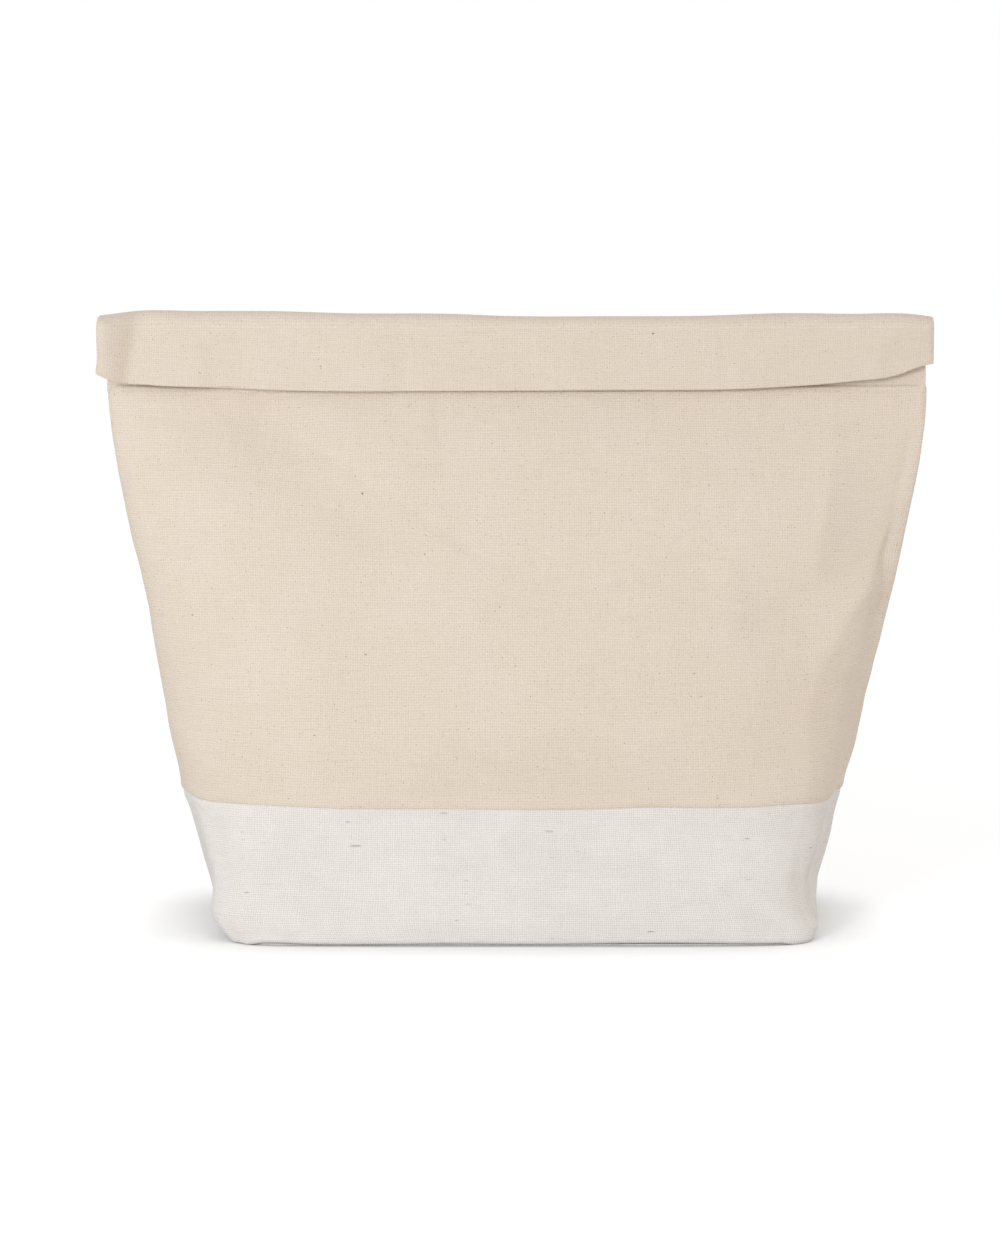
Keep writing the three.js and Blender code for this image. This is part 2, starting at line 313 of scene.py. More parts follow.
def cut_cloth():
    """The cloth's own size: a round tube, a little larger than the girth so that it can buckle."""
    radius = (1 + SLACK) * GIRTH / (2 * math.pi)
    angle = 2 * math.pi * column_along / GIRTH
    ring = np.stack([radius * np.sin(angle), -radius * np.cos(angle)], 1)
    return np.array([np.column_stack([ring, np.full(COLUMNS, up)]) for up in row_up])


# Cloth simulation, held at the foot, the band seam and the two side seams

SETTLE_FRAMES = 40
LARGEST_MOVE = 9.0
CLOTH_SETTINGS = {
    "quality": 7,
    "mass": 0.35,
    "tension_stiffness": 25,
    "compression_stiffness": 25,
    "shear_stiffness": 10,
    "bending_stiffness": 6,
    "tension_damping": 15,
    "compression_damping": 15,
    "bending_damping": 1,
    "use_pressure": True,
    "uniform_pressure_force": 1.2,
}


def held_points(index):
    """The cloth's fixed points: the bottom ring, the rows at the band and the side seams."""
    seams = [int(np.argmin(np.abs(column_along - side * SIDE_SEAM))) for side in (-1, 1)]
    return {int(i) for i in (*index[:1].ravel(), *index[-3:].ravel(), *index[:, seams].ravel())}


def settle(start):
    """The tube's points after the simulation, none further from its start than the largest move."""
    index = np.arange(ROWS * COLUMNS).reshape(ROWS, COLUMNS)
    mesh = bpy.data.meshes.new("settling")
    mesh.from_pydata((start.reshape(-1, 3) * MM).tolist(), [], round_quads(index).tolist())
    tube = bpy.data.objects.new("settling", mesh)
    scene = bpy.context.scene
    scene.collection.objects.link(tube)
    tube.shape_key_add(name="start")
    cut = tube.shape_key_add(name="cut")
    cut.data.foreach_set("co", (cut_cloth() * MM).ravel())
    held = tube.vertex_groups.new(name="held")
    held.add(sorted(held_points(index)), 1.0, "REPLACE")
    cloth = tube.modifiers.new("Cloth", "CLOTH")
    for name, value in CLOTH_SETTINGS.items():
        setattr(cloth.settings, name, value)
    cloth.settings.vertex_group_mass = "held"
    cloth.settings.rest_shape_key = cut
    cloth.settings.effector_weights.gravity = 0
    cloth.point_cache.frame_end = SETTLE_FRAMES
    for number in range(1, SETTLE_FRAMES + 1):
        scene.frame_set(number)
    shaped = tube.evaluated_get(bpy.context.evaluated_depsgraph_get()).data
    points = np.empty(ROWS * COLUMNS * 3)
    shaped.vertices.foreach_get("co", points)
    scene.frame_set(1)
    bpy.data.objects.remove(tube)
    bpy.data.meshes.remove(mesh)
    move = points.reshape(ROWS, COLUMNS, 3) / MM - start
    size = np.linalg.norm(move, axis=2, keepdims=True)
    return start + move * np.minimum(1, LARGEST_MOVE / np.maximum(size, 1e-6))


started = start_tube()
tube_grid = settle(started)


# Places on the settled wall: u is the distance round the cloth, v the distance up it

NORMAL_STEP = 1.0


def smooth_between(points, t):
    """A smooth way from the second of four points to the third, at the share t."""
    a, b, c, d = points
    t = t[..., None]
    square, cube = 2 * a - 5 * b + 4 * c - d, 3 * b - a - 3 * c + d
    return 0.5 * (2 * b + (c - a) * t + square * t**2 + cube * t**3)


def skin(u, v):
    """Points of the settled tube, between its grid points too."""
    column = (u / GIRTH + 0.5) * COLUMNS
    row = np.clip(v / CLOTH_HEIGHT * (ROWS - 1), 0, ROWS - 1)
    c = np.floor(column).astype(int)
    r = np.minimum(np.floor(row).astype(int), ROWS - 2)
    rows = []
    for i in range(-1, 3):
        level = np.clip(r + i, 0, ROWS - 1)
        around = [tube_grid[level, (c + j) % COLUMNS] for j in range(-1, 3)]
        rows.append(smooth_between(around, column - c))
    return smooth_between(rows, row - r)


def skin_normal(u, v):
    v = np.clip(v, NORMAL_STEP, CLOTH_HEIGHT - NORMAL_STEP)
    round_it = skin(u + NORMAL_STEP, v) - skin(u - NORMAL_STEP, v)
    up_it = skin(u, v + NORMAL_STEP) - skin(u, v - NORMAL_STEP)
    normal = np.cross(round_it, up_it)
    return normal / np.linalg.norm(normal, axis=-1, keepdims=True)


# Soft folds of the wall, as millimetres outwards. Places are on the cloth: u round it from the
# front centre and v up it. Heights are those between which a form is shown, as shown() takes them

gentle_waves = unevenness(3, 60, 150)
small_waves = unevenness(8, 14, 34, 20)
GENTLE_WAVE = 0.3
SMALL_WAVE = 0.06
WAVES_FADE_BELOW = 25
WAVES_FADE_ABOVE = 30
FOLDS_FADE_ABOVE = 5
FOLDS_FADE_ASIDE = 12
LINES = (
    # start, end, half width and height of a ridge, or of a crease where it is negative
    ((-41, 304), (-39, 234), 1.8, -1.30),
    ((-118, 268), (-66, 231), 2.2, -1.10),
    ((-74, 238), (-6, 192), 2.4, -1.10),
    ((-16, 203), (24, 178), 2.0, -0.80),
    ((-143, -8), (-131, 40), 2.4, -1.30),
    ((70, 290), (76, 258), 2.2, -0.90),
    ((-160, 300), (-50, 195), 20.0, -4.50),
    ((-180, 262), (-96, 110), 22.0, 4.20),
    ((-98, 175), (-94, 10), 16.0, 1.40),
)

# The share of a line over which it fades at each end, and the half width below which a line shows
# in the outer cloth only
FADE = 0.3
NARROW = 5.0

# The rounded corners: the crest of the ridge, and how far the side beyond it is flattened
RIGHT_RIDGE = smooth_curve([
    (0, 139), (25, 134), (45, 141), (65, 150), (123, 154), (150, 164), (180, 183), (212, 203), (235, 214),
])
LEFT_RIDGE = smooth_curve([(0, -138), (25, -127), (45, -124), (65, -130), (90, -160), (120, -190)])
FACET_DEPTH = 0.07
RIGHT_FACET_HEIGHTS = (0, 30, 236, 30)
LEFT_FACET_HEIGHTS = (0, 30, 110, 40)
CREST = 0.8
CREST_WIDTH = 8
CREST_HEIGHTS = (120, 40, 215, 30)

# Hollows with one sharp edge: width, length of the way back and share of the way back
UPPER_LEDGE = smooth_curve([(175, 152), (197, 154), (234, 159), (282, 165)])
UPPER_HOLLOW = (34, 34, 0.4)
UPPER_HOLLOW_DEPTH = 9.0
UPPER_HOLLOW_HEIGHTS = (176, 26, 310, 70)
MIDDLE_LEDGE = 108
MIDDLE_HOLLOW = (38, 50, 0.6)
MIDDLE_HOLLOW_DEPTH = 7.5
MIDDLE_HOLLOW_HEIGHT = 174
MIDDLE_HOLLOW_REACH = 24

# The rounded right corner of the juco, and the front's slow turn towards it
CORNER_FROM = 114
CORNER_RUN = 30
CORNER_TO = 150
CORNER_BACK = 50
CORNER_DEPTH = 4.3
CORNER_HEIGHTS = (0, 14, 82, 30)
TURN_FROM = 112
TURN_WIDTH = 40
TURN_SLOPE = 0.05
TURN_HEIGHTS = (0, 40, 200, 40)


def from_front(u):
    """The distance round the cloth from the front centre, negative on the left."""
    return (u + GIRTH / 2) % GIRTH - GIRTH / 2


def along_line(u, v, start, end):
    """Distance beside the line between two places, and a fade that is 0 at its ends."""
    (u0, v0), (u1, v1) = start, end
    length = math.hypot(u1 - u0, v1 - v0)
    along = ((u - u0) * (u1 - u0) + (v - v0) * (v1 - v0)) / length
    aside = ((u - u0) * (v1 - v0) - (v - v0) * (u1 - u0)) / length
    return aside, ease(along / (FADE * length)) * ease((length - along) / (FADE * length))


def ledge(distance, width, back, returned=1.0):
    """0 before a sharp edge, then down a slope to 1 over the width and back to 0 after it, or a
    share of the way back."""
    after = np.maximum(distance, 0)
    slope = np.sin(np.clip(after / width, 0, 1) * math.pi / 2)
    return slope * (1 - returned * ease((after - width) / back))


def facet(u, ridge, seam):
    """How far the rounded side is flattened between a corner ridge and the side seam."""
    width = np.maximum(np.abs(seam - ridge), 1)
    share = np.clip((u - ridge) / (seam - ridge), 0, 1)
    return width * np.sin(math.pi * share)


def folds(u, v, fine):
    """The folds that the photographed front has. Only the outer cloth has the narrow ones."""
    total = 0 * u
    for start, end, width, height in LINES:
        if fine or width > NARROW:
            aside, fade = along_line(u, v, start, end)
            total = total + height * fade * bell(aside, 0, width)
    right = RIGHT_RIDGE(v)
    total = total - FACET_DEPTH * facet(u, right, SIDE_SEAM) * shown(v, *RIGHT_FACET_HEIGHTS)
    total = total - FACET_DEPTH * facet(u, LEFT_RIDGE(v), -SIDE_SEAM) * shown(v, *LEFT_FACET_HEIGHTS)
    total = total + CREST * bell(u, right, CREST_WIDTH) * shown(v, *CREST_HEIGHTS)
    upper = ledge(u - UPPER_LEDGE(v), *UPPER_HOLLOW) * shown(v, *UPPER_HOLLOW_HEIGHTS)
    middle = ledge(u - MIDDLE_LEDGE, *MIDDLE_HOLLOW) * bell(v, MIDDLE_HOLLOW_HEIGHT, MIDDLE_HOLLOW_REACH)
    total = total - UPPER_HOLLOW_DEPTH * upper - MIDDLE_HOLLOW_DEPTH * middle
    corner = np.clip((u - CORNER_FROM) / CORNER_RUN, 0, 1) ** 2
    corner = corner * (1 - ease((u - CORNER_TO) / CORNER_BACK))
    total = total - CORNER_DEPTH * corner * shown(v, *CORNER_HEIGHTS)
    return total - TURN_SLOPE * np.clip(u - TURN_FROM, 0, TURN_WIDTH) * shown(v, *TURN_HEIGHTS)


def relief(u, v, fine):
    """All that stands on the settled wall: waves, which fade out at the foot and the band, and on
    the front the folds, which fade out at the band and the side seams."""
    around = from_front(u)
    free = shown(v, 0, WAVES_FADE_BELOW, CLOTH_HEIGHT, WAVES_FADE_ABOVE)
    waves = GENTLE_WAVE * gentle_waves(u, v) + SMALL_WAVE * small_waves(u, v)
    front = ease((SIDE_SEAM - np.abs(around)) / FOLDS_FADE_ASIDE)
    front = front * ease((CLOTH_HEIGHT - v) / FOLDS_FADE_ABOVE)
    return free * waves + front * folds(around, v, fine)


# The foot: its edge lifts a little off the floor between the front corners

FOOT_LIFT = 0.9
FOOT_LIFT_HEIGHT = 10
FOOT_CORNER = 136
FOOT_CORNER_FADE = 9
FOOT_LIFTS = (
    # place, half width and height of the parts that lift more
    (-121, 14, 0.6),
    (-35, 30, 0.4),
    (70, 45, 0.8),
)


def foot_lift(u, v):
    between_corners = ease((FOOT_CORNER - np.abs(from_front(u))) / FOOT_CORNER_FADE)
    uneven = FOOT_LIFT + sum(height * bell(u, place, width) for place, width, height in FOOT_LIFTS)
    return between_corners * uneven * (1 - ease(v / FOOT_LIFT_HEIGHT))


UP = np.array([0.0, 0.0, 1.0])


def wall_place(u, v, inset, fine=True):
    """A place in the wall at a depth below its outer skin. Below v = 0 the cloth rolls in."""
    above = np.maximum(v, 0)
    normal = skin_normal(u, above)
    point = skin(u, above) + normal * relief(u, above, fine)[..., None]
    point = point + foot_lift(u, above)[..., None] * UP
    level = normal * np.array([1, 1, 0])
    level /= np.linalg.norm(level, axis=-1, keepdims=True)
    turn = np.clip(-v / FOOT_RADIUS, 0, math.pi / 2)[..., None]
    under = np.where(turn > 0, 1.0, 0.0)
    rolled = point + FOOT_RADIUS * ((np.cos(turn) - 1) * level - np.sin(turn) * UP)
    rolled_normal = level * np.cos(turn) - UP * np.sin(turn)
    point = between(point, rolled, under)
    normal = between(normal, rolled_normal, under)
    return point - normal * np.asarray(inset)[..., None]


# Closed pieces of cloth

RIM_STEPS = 3
EDGE_MARKS = (0, 0.4, 0.9, 1.6, 2.6, 4.2)


def marks(low, high, step):
    """Numbers from low to high at about the step, and closer at both ends, where cloth turns in."""
    first, last = low + EDGE_MARKS[-1], high - EDGE_MARKS[-1]
    middle = np.linspace(first, last, max(2, round((last - first) / step) + 1))
    ends = np.array(EDGE_MARKS[:-1])
    return np.concatenate([low + ends, middle, (high - ends)[::-1]])


def edge_of_grid(rows, columns):
    """Rows and columns of the points round a grid, anticlockwise from its lower left."""
    index = np.arange(rows * columns).reshape(rows, columns)
    sides = [index[0], index[1:, -1], index[-1, -2::-1], index[-2:0:-1, 0]]
    return np.divmod(np.concatenate(sides), columns)


def new_piece(name, points, faces, cloth_places, material, body=None):
    """A mesh object from millimetre points, with the cloth's own coordinates as its UV map."""
    mesh = bpy.data.meshes.new(name)
    faces = [tuple(int(i) for i in face) for face in faces]
    mesh.from_pydata((np.asarray(points) * MM).tolist(), [], faces)
    mesh.polygons.foreach_set("use_smooth", [True] * len(mesh.polygons))
    vertex = np.empty(len(mesh.loops), int)
    mesh.loops.foreach_get("vertex_index", vertex)
    uv = mesh.uv_layers.new(name="cloth")
    uv.data.foreach_set("uv", (np.asarray(cloth_places, float)[vertex] * MM).ravel())
    mesh.materials.append(material)
    piece = bpy.data.objects.new(name, mesh)
    bpy.context.scene.collection.objects.link(piece)
    if body:
        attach(piece, body)
    return piece


def shell(name, place, us, vs, thickness, material, body=None, cut=()):
    """A closed piece of cloth. place(u, v, share) gives its points, share 0 outside and 1 inside.
    The sides that cut names are cut flat, so that the next piece goes on from them without a line."""
    u, v = np.meshgrid(us, vs)
    rows, columns = u.shape
    count = rows * columns
    ones = np.ones_like(u)
    points = [place(u, v, 0 * ones).reshape(-1, 3), place(u, v, ones).reshape(-1, 3)]
    places = [np.stack([u.ravel(), v.ravel()], 1)] * 2
    index = np.arange(count).reshape(rows, columns)
    faces = [quads(index), quads(index + count)[:, ::-1]]
    r, c = edge_of_grid(rows, columns)
    flat = {"left": c == 0, "right": c == columns - 1, "low": r == 0, "high": r == rows - 1}
    out = {side: np.where(there & (side not in cut), 1.0, 0) for side, there in flat.items()}
    out_u, out_v = out["right"] - out["left"], out["high"] - out["low"]
    last = index[r, c]
    start = 2 * count
    for step in range(1, RIM_STEPS):
        angle = math.pi * step / RIM_STEPS
        bulge = thickness / 2 * math.sin(angle)
        ring_u, ring_v = u[r, c] + out_u * bulge, v[r, c] + out_v * bulge
        points.append(place(ring_u, ring_v, np.full(len(r), (1 - math.cos(angle)) / 2)))
        places.append(np.stack([ring_u, ring_v], 1))
        ring = start + np.arange(len(r))
        faces.append(np.stack([last, ring, np.roll(ring, -1), np.roll(last, -1)], 1))
        last = ring
        start += len(r)
    inner = index[r, c] + count
    faces.append(np.stack([last, inner, np.roll(inner, -1), np.roll(last, -1)], 1))
    points, faces, places = np.concatenate(points), np.concatenate(faces), np.concatenate(places)
    piece = new_piece(name, points, faces, places, material, body)
    borders = []
    for side in cut:
        border = {int(i) for i in index[r, c][flat[side]]}
        borders.append(border | {i + count for i in border})
    for edge in piece.data.edges:
        edge.use_edge_sharp = any(set(edge.vertices) <= border for border in borders)
    return piece


# Materials. Sizes are millimetres, and a range is where a value goes from none to all

WANDER_SIZES = (9, 40)
WANDER_SHIFT = 500.0
SPECK_EDGE = (0.6, 1.2)
SPECK_SIZES = (0.4, 1.2)
PATCH_RANGE = (0.3, 0.7)
GAP_RANGE = (0.15, 0.6)
BLOTCH_SIZE = 9
BLOTCH_RANGE = (0.25, 0.75)
SLUB_HEIGHT = 0.5
USUAL_NOISE = 0.2


class Nodes:
    """Builds the nodes of a material or a world, one call for each node."""

    def __init__(self, owner):
        owner.use_nodes = True
        self.owner = owner
        self.tree = owner.node_tree
        self.tree.nodes.clear()

    def add(self, kind, inputs=None, **settings):
        node = self.tree.nodes.new("ShaderNode" + kind)
        for name, value in settings.items():
            setattr(node, name, value)
        for name, value in (inputs or {}).items():
            if isinstance(value, bpy.types.NodeSocket):
                self.tree.links.new(value, node.inputs[name])
            else:
                node.inputs[name].default_value = value
        return node

    def math(self, operation, *values):
        return self.add("Math", dict(enumerate(values)), operation=operation).outputs[0]

    def mix(self, share, a, b, blend="MIX"):
        return self.add("Mix", {0: share, 6: a, 7: b}, data_type="RGBA", blend_type=blend).outputs[2]

    def places(self):
        """The cloth's coordinates in millimetres: round the cloth and up it."""
        uv = self.add("UVMap", uv_map="cloth").outputs[0]
        parts = self.add("SeparateXYZ", {0: uv})
        return [self.math("MULTIPLY", parts.outputs[i], 1 / MM) for i in (0, 1)]

    def plane(self, u, v):
        return self.add("CombineXYZ", {0: u, 1: v}).outputs[0]

    def noise(self, u, v, size_u, size_v, detail=2.0, rough=0.5):
        """Noise from 0 to 1 with patches of about the given sizes in millimetres."""
        where = self.plane(self.math("DIVIDE", u, size_u), self.math("DIVIDE", v, size_v))
        inputs = {"Vector": where, "Scale": 1.0, "Detail": detail, "Roughness": rough}
        return self.add("TexNoise", inputs, noise_dimensions="2D").outputs[0]

    def ramp(self, value, low, high):
        """0 below low, 1 above high and smooth between them."""
        inputs = {0: value, 1: low, 2: high}
        return self.add("MapRange", inputs, interpolation_type="SMOOTHSTEP").outputs[0]

    def finish(self, inputs, height, distance):
        """Ends a material with its shader and a bump of the given distance in millimetres."""
        shader = self.add("BsdfPrincipled", inputs)
        bump = self.add("Bump", {"Height": height, "Distance": distance * MM, "Strength": 1.0})
        self.tree.links.new(bump.outputs[0], shader.inputs["Normal"])
        self.add("OutputMaterial", {0: shader.outputs[0]})
        return self.owner


def new_material(name):
    return Nodes(bpy.data.materials.new(name))


def linear(red, green, blue):
    """A display colour, 0 to 255, as the linear colour that a shader takes."""
    parts = [x / 255 for x in (red, green, blue)]
    return tuple(x / 12.92 if x <= 0.04045 else ((x + 0.055) / 1.055) ** 2.4 for x in parts) + (1.0,)


def plain_weave(nodes, u, v, pitch_u, pitch_v):
    """Height of a plain weave from 0 to 1: round threads that pass over and under each other."""
    cos_u = nodes.math("COSINE", nodes.math("MULTIPLY", u, math.pi / pitch_u))
    cos_v = nodes.math("COSINE", nodes.math("MULTIPLY", v, math.pi / pitch_v))
    over = nodes.math("MULTIPLY", cos_u, cos_v)
    warp = nodes.math("MULTIPLY", nodes.math("ABSOLUTE", cos_u), nodes.math("ADD", over, 1.0))
    weft = nodes.math("MULTIPLY", nodes.math("ABSOLUTE", cos_v), nodes.math("SUBTRACT", 1.0, over))
    return nodes.math("MULTIPLY", nodes.math("MAXIMUM", warp, weft), 0.5)


def wandering(nodes, u, v, amount):
    """The cloth's coordinates with threads that wander a little."""
    short, long = WANDER_SIZES
    moved = nodes.math("ADD", v, WANDER_SHIFT)
    side = nodes.math("SUBTRACT", nodes.noise(u, v, short, long), 0.5)
    rise = nodes.math("SUBTRACT", nodes.noise(u, moved, long, short), 0.5)
    return nodes.math("MULTIPLY_ADD", side, amount, u), nodes.math("MULTIPLY_ADD", rise, amount, v)


def specks(nodes, u, v, cell_u, cell_v, share, radius, shift):
    """1 on a few scattered specks. The cloth is cut into cells of the given size, of which one
    share has a speck, and the radius is that of the speck as a share of its cell."""
    moved = nodes.math("ADD", u, shift)
    where = nodes.plane(nodes.math("DIVIDE", moved, cell_u), nodes.math("DIVIDE", v, cell_v))
    cell = nodes.add("TexVoronoi", {"Vector": where, "Scale": 1.0}, voronoi_dimensions="2D")
    colour = nodes.add("SeparateColor", {0: cell.outputs["Color"]})
    chosen = nodes.math("LESS_THAN", colour.outputs[0], share)
    least, more = SPECK_SIZES
    size = nodes.math("MULTIPLY_ADD", colour.outputs[1], more, least)
    inside = nodes.math("DIVIDE", cell.outputs["Distance"], nodes.math("MULTIPLY", radius, size))
    near = nodes.math("SUBTRACT", 1.0, nodes.ramp(inside, *SPECK_EDGE))
    return nodes.math("MULTIPLY", nodes.math("MULTIPLY", chosen, near), colour.outputs[2])


def spread(nodes, value, amount):
    """A noise around 1: its usual distance from 0.5 becomes the amount."""
    return nodes.math("MULTIPLY_ADD", nodes.math("SUBTRACT", value, 0.5), amount / USUAL_NOISE, 1.0)


def shaded(nodes, colour, *factors):
    """A colour times some values near 1."""
    factor = factors[0]
    for other in factors[1:]:
        factor = nodes.math("MULTIPLY", factor, other)
    grey = nodes.add("CombineColor", {0: factor, 1: factor, 2: factor}).outputs[0]
    return nodes.mix(1.0, colour, grey, "MULTIPLY")


# The two woven cloths. Patches, streaks and slubs are noises, with their size across and up first.
# A streak then has its detail and amount, and slubs have the range in which they rise. The gaps
# between threads are darkened as painted shade, with a usual strength and more of it in blotches.
# Specks, left by cotton seed and by bark in the thread: cell across and up, share of the cells that
# have one, radius as a share of the cell, shift and strength
CANVAS = {
    "pitch": (1.2, 1.35),
    "wander": 1.6,
    "patches": (50, 50),
    "tints": ((229.5, 214, 197), (230.5, 216, 200)),
    "streaks": (
        (20, 1.35, 1.0, 0.012),
        (1.2, 18, 1.0, 0.012),
        (0.8, 0.9, 0.0, 0.032),
    ),
    "gap_shade_colour": (192, 170, 142),
    "gap_shade_strength": (0.34, 0.0),
    "speck_tint": (120, 84, 56),
    "specks": (
        (4.4, 4.0, 0.55, 0.045, 0.0, 0.9),
        (1.9, 1.8, 0.40, 0.11, 91.0, 0.40),
        (34.0, 30.0, 0.40, 0.012, 47.0, 1.0),
    ),
    "slubs": (14, 1.4, 0.66, 0.8),
    "shader": {"Roughness": 0.92, "Specular IOR Level": 0.2},
    "bump": 0.14,
}
JUCO = {
    "pitch": (1.05, 1.05),
    "wander": 2.0,
    "patches": (40, 30),
    "tints": ((237, 231, 224), (240, 234, 228)),
    "streaks": (
        (34, 1.05, 1.0, 0.009),
        (300, 5, 1.0, 0.004),
        (1.05, 20, 1.0, 0.010),
        (0.8, 0.7, 0.0, 0.04),
    ),
    "gap_shade_colour": (172, 158, 144),
    "gap_shade_strength": (0.34, 0.12),
    "speck_tint": (132, 106, 84),
    "specks": (
        (48.0, 10.0, 0.22, 0.04, 37.0, 0.75),
        (14.0, 4.0, 0.12, 0.07, 12.0, 0.3),
    ),
    "slubs": (12, 1.2, 0.62, 0.78),
    "shader": {"Roughness": 0.95, "Specular IOR Level": 0.15},
    "bump": 0.16,
}


def woven_material(name, cloth, tone=1.0):
    """Threads that wander a little, with uneven tone, painted shade between them, specks and slubs."""
    nodes = new_material(name)
    u, v = nodes.places()
    wu, wv = wandering(nodes, u, v, cloth["wander"])
    weave = plain_weave(nodes, wu, wv, *cloth["pitch"])
    patches = nodes.ramp(nodes.noise(u, v, *cloth["patches"], 3.0), *PATCH_RANGE)
    colour = nodes.mix(patches, *[linear(*tint) for tint in cloth["tints"]])
    streaks = [spread(nodes, nodes.noise(wu, wv, across, up, detail), amount)
               for across, up, detail, amount in cloth["streaks"]]
    # tone darkens the whole colour: below 1 it is painted shade, as on the band's copy
    colour = shaded(nodes, colour, *streaks, tone)
    # the gaps between threads are darkened: painted shade
    gaps = nodes.math("SUBTRACT", 1.0, nodes.ramp(weave, *GAP_RANGE))
    usual, more = cloth["gap_shade_strength"]
    blotches = nodes.ramp(nodes.noise(u, v, BLOTCH_SIZE, BLOTCH_SIZE), *BLOTCH_RANGE)
    gaps = nodes.math("MULTIPLY", gaps, nodes.math("MULTIPLY_ADD", blotches, more, usual))
    colour = nodes.mix(gaps, colour, linear(*cloth["gap_shade_colour"]))
    for *shape, strength in cloth["specks"]:
        dots = specks(nodes, wu, wv, *shape)
        colour = nodes.mix(nodes.math("MULTIPLY", dots, strength), colour, linear(*cloth["speck_tint"]))
    across, up, low, high = cloth["slubs"]
    slubs = nodes.ramp(nodes.noise(wu, wv, across, up, 0.0), low, high)
    height = nodes.math("MULTIPLY_ADD", slubs, SLUB_HEIGHT, weave)
    inputs = {"Base Color": colour, "Sheen Weight": 0.1, "Sheen Roughness": 0.6, **cloth["shader"]}
    return nodes.finish(inputs, height, cloth["bump"])


def foam_material():
    nodes = new_material("foam")
    u, v = nodes.places()
    cells = nodes.add("TexVoronoi", {"Vector": nodes.plane(u, v), "Scale": 1.6}, voronoi_dimensions="2D")
    tint = nodes.mix(nodes.noise(u, v, 20, 20), linear(236, 236, 232), linear(246, 246, 243))
    return nodes.finish({"Base Color": tint, "Roughness": 0.8}, cells.outputs["Distance"], 0.25)


def foil_material():
    nodes = new_material("foil")
    u, v = nodes.places()
    wrinkles = nodes.noise(u, v, 7, 10, 4.0, 0.6)
    scrim = plain_weave(nodes, u, v, 5.0, 5.0)
    height = nodes.math("MULTIPLY_ADD", scrim, 0.15, wrinkles)
    tint = nodes.mix(nodes.noise(u, v, 30, 30), linear(196, 199, 203), linear(214, 216, 219))
    return nodes.finish({"Base Color": tint, "Metallic": 0.9, "Roughness": 0.34}, height, 0.9)


def board_material():
    nodes = new_material("board")
    where = nodes.add("NewGeometry").outputs["Position"]
    grain = nodes.add("TexNoise", {"Vector": where, "Scale": 900.0, "Detail": 3.0}).outputs[0]
    tint = nodes.mix(grain, linear(196, 197, 194), linear(214, 214, 211))
    return nodes.finish({"Base Color": tint, "Roughness": 0.6}, grain, 0.08)


def tape_material():
    nodes = new_material("tape")
    u, v = nodes.places()
    weave = plain_weave(nodes, u, v, 0.5, 0.7)
    fuzz = nodes.noise(u, v, 1.4, 1.1, 3.0, 0.7)
    tint = nodes.mix(fuzz, linear(228, 210, 190), linear(242, 228, 211))
    height = nodes.math("MULTIPLY_ADD", fuzz, 1.5, weave)
    return nodes.finish({"Base Color": tint, "Roughness": 0.85, "Sheen Weight": 0.3}, height, 0.2)


def thread_material():
    nodes = new_material("thread")
    u, v = nodes.places()
    twist = nodes.math("SINE", nodes.math("MULTIPLY_ADD", v, 3.0, nodes.math("MULTIPLY", u, 9.0)))
    tint = nodes.mix(nodes.noise(u, v, 5, 5), linear(224, 212, 194), linear(236, 227, 213))
    return nodes.finish({"Base Color": tint, "Roughness": 0.8, "Sheen Weight": 0.2}, twist, 0.05)


CANVAS_CLOTH = woven_material("canvas", CANVAS)
# Painted shade: a darker copy of the canvas, as the band has no white foam behind it to light it
BAND_CLOTH_PAINTED_DARKER = woven_material("band canvas painted darker", CANVAS, 0.975)
JUCO_CLOTH = woven_material("juco", JUCO)
FOAM_SHEET = foam_material()
FOIL = foil_material()
BOARD = board_material()
TAPE = tape_material()
THREAD = thread_material()


# The wall: outer cloth in two heights, foam and foil lining in four panels

CLOTH_STEP = 2.6
INNER_STEP = 7.0
SEAM_GAP = 0.1
SEAM_DEPTH = 1.1
SEAM_REACH = 2.6
FOLDED_EDGE = 0.5
FOLDED_EDGE_UP = 2.2
FOLDED_EDGE_WIDTH = 2.6
CANVAS_TUCK = 0.35
JUCO_TUCK = 0.6
ABOVE_BOARD = 1.5
BELOW_BAND = 0.2
FOOT_TURN = FOOT_RADIUS * math.pi / 2
juco_seam_up = float(up_of(JUCO_HEIGHT))

# How far the juco seam lies above its usual height, from left to right on the front
SEAM_RISE = smooth_curve([
    (-217, 0), (-190, 1.2), (-160, 1.4), (-135, 0.6), (-110, -0.2), (-75, -1.3), (-40, -1.4),
    (40, -1.4), (65, -0.6), (120, -0.5), (145, 0.5), (165, 0), (217, 0),
])
SEAM_RISE_REACH = 40.0
SEAM_RISE_FADE = 20


def tucked(distance):
    """How far cloth drops into a seam at a distance from it."""
    return SEAM_DEPTH * np.clip(1 - distance / SEAM_REACH, 0, 1) ** 2


def outer_cloth(side, kind, low, high, material, edge_lift):
    """The cloth of the front or the back, from one height to another."""
    middle = 0 if side == "front" else GIRTH / 2
    left, right = middle - SIDE_SEAM + SEAM_GAP, middle + SIDE_SEAM - SEAM_GAP

    def place(u, v, share):
        inset = tucked(np.minimum(u - left, right - u)) + share * CLOTH - edge_lift(v)
        if side == "front":
            v = v + SEAM_RISE(u) * bell(v, juco_seam_up, SEAM_RISE_REACH) * ease(v / SEAM_RISE_FADE)
        return wall_place(u, v, inset)

    us, vs = marks(left, right, CLOTH_STEP), marks(low, high, CLOTH_STEP)
    piece = shell(f"{kind}_cloth_{side}", place, us, vs, CLOTH, material, "bag")
    return piece


def canvas_edges(v):
    """The canvas turns in at the band seam, and lies in a soft fold over the juco seam."""
    folded = FOLDED_EDGE * bell(v, juco_seam_up + FOLDED_EDGE_UP, FOLDED_EDGE_WIDTH)
    return folded - CANVAS_TUCK * tucked(v - juco_seam_up) - tucked(CLOTH_HEIGHT - v)


def juco_edges(v):
    return -JUCO_TUCK * tucked(juco_seam_up - v)


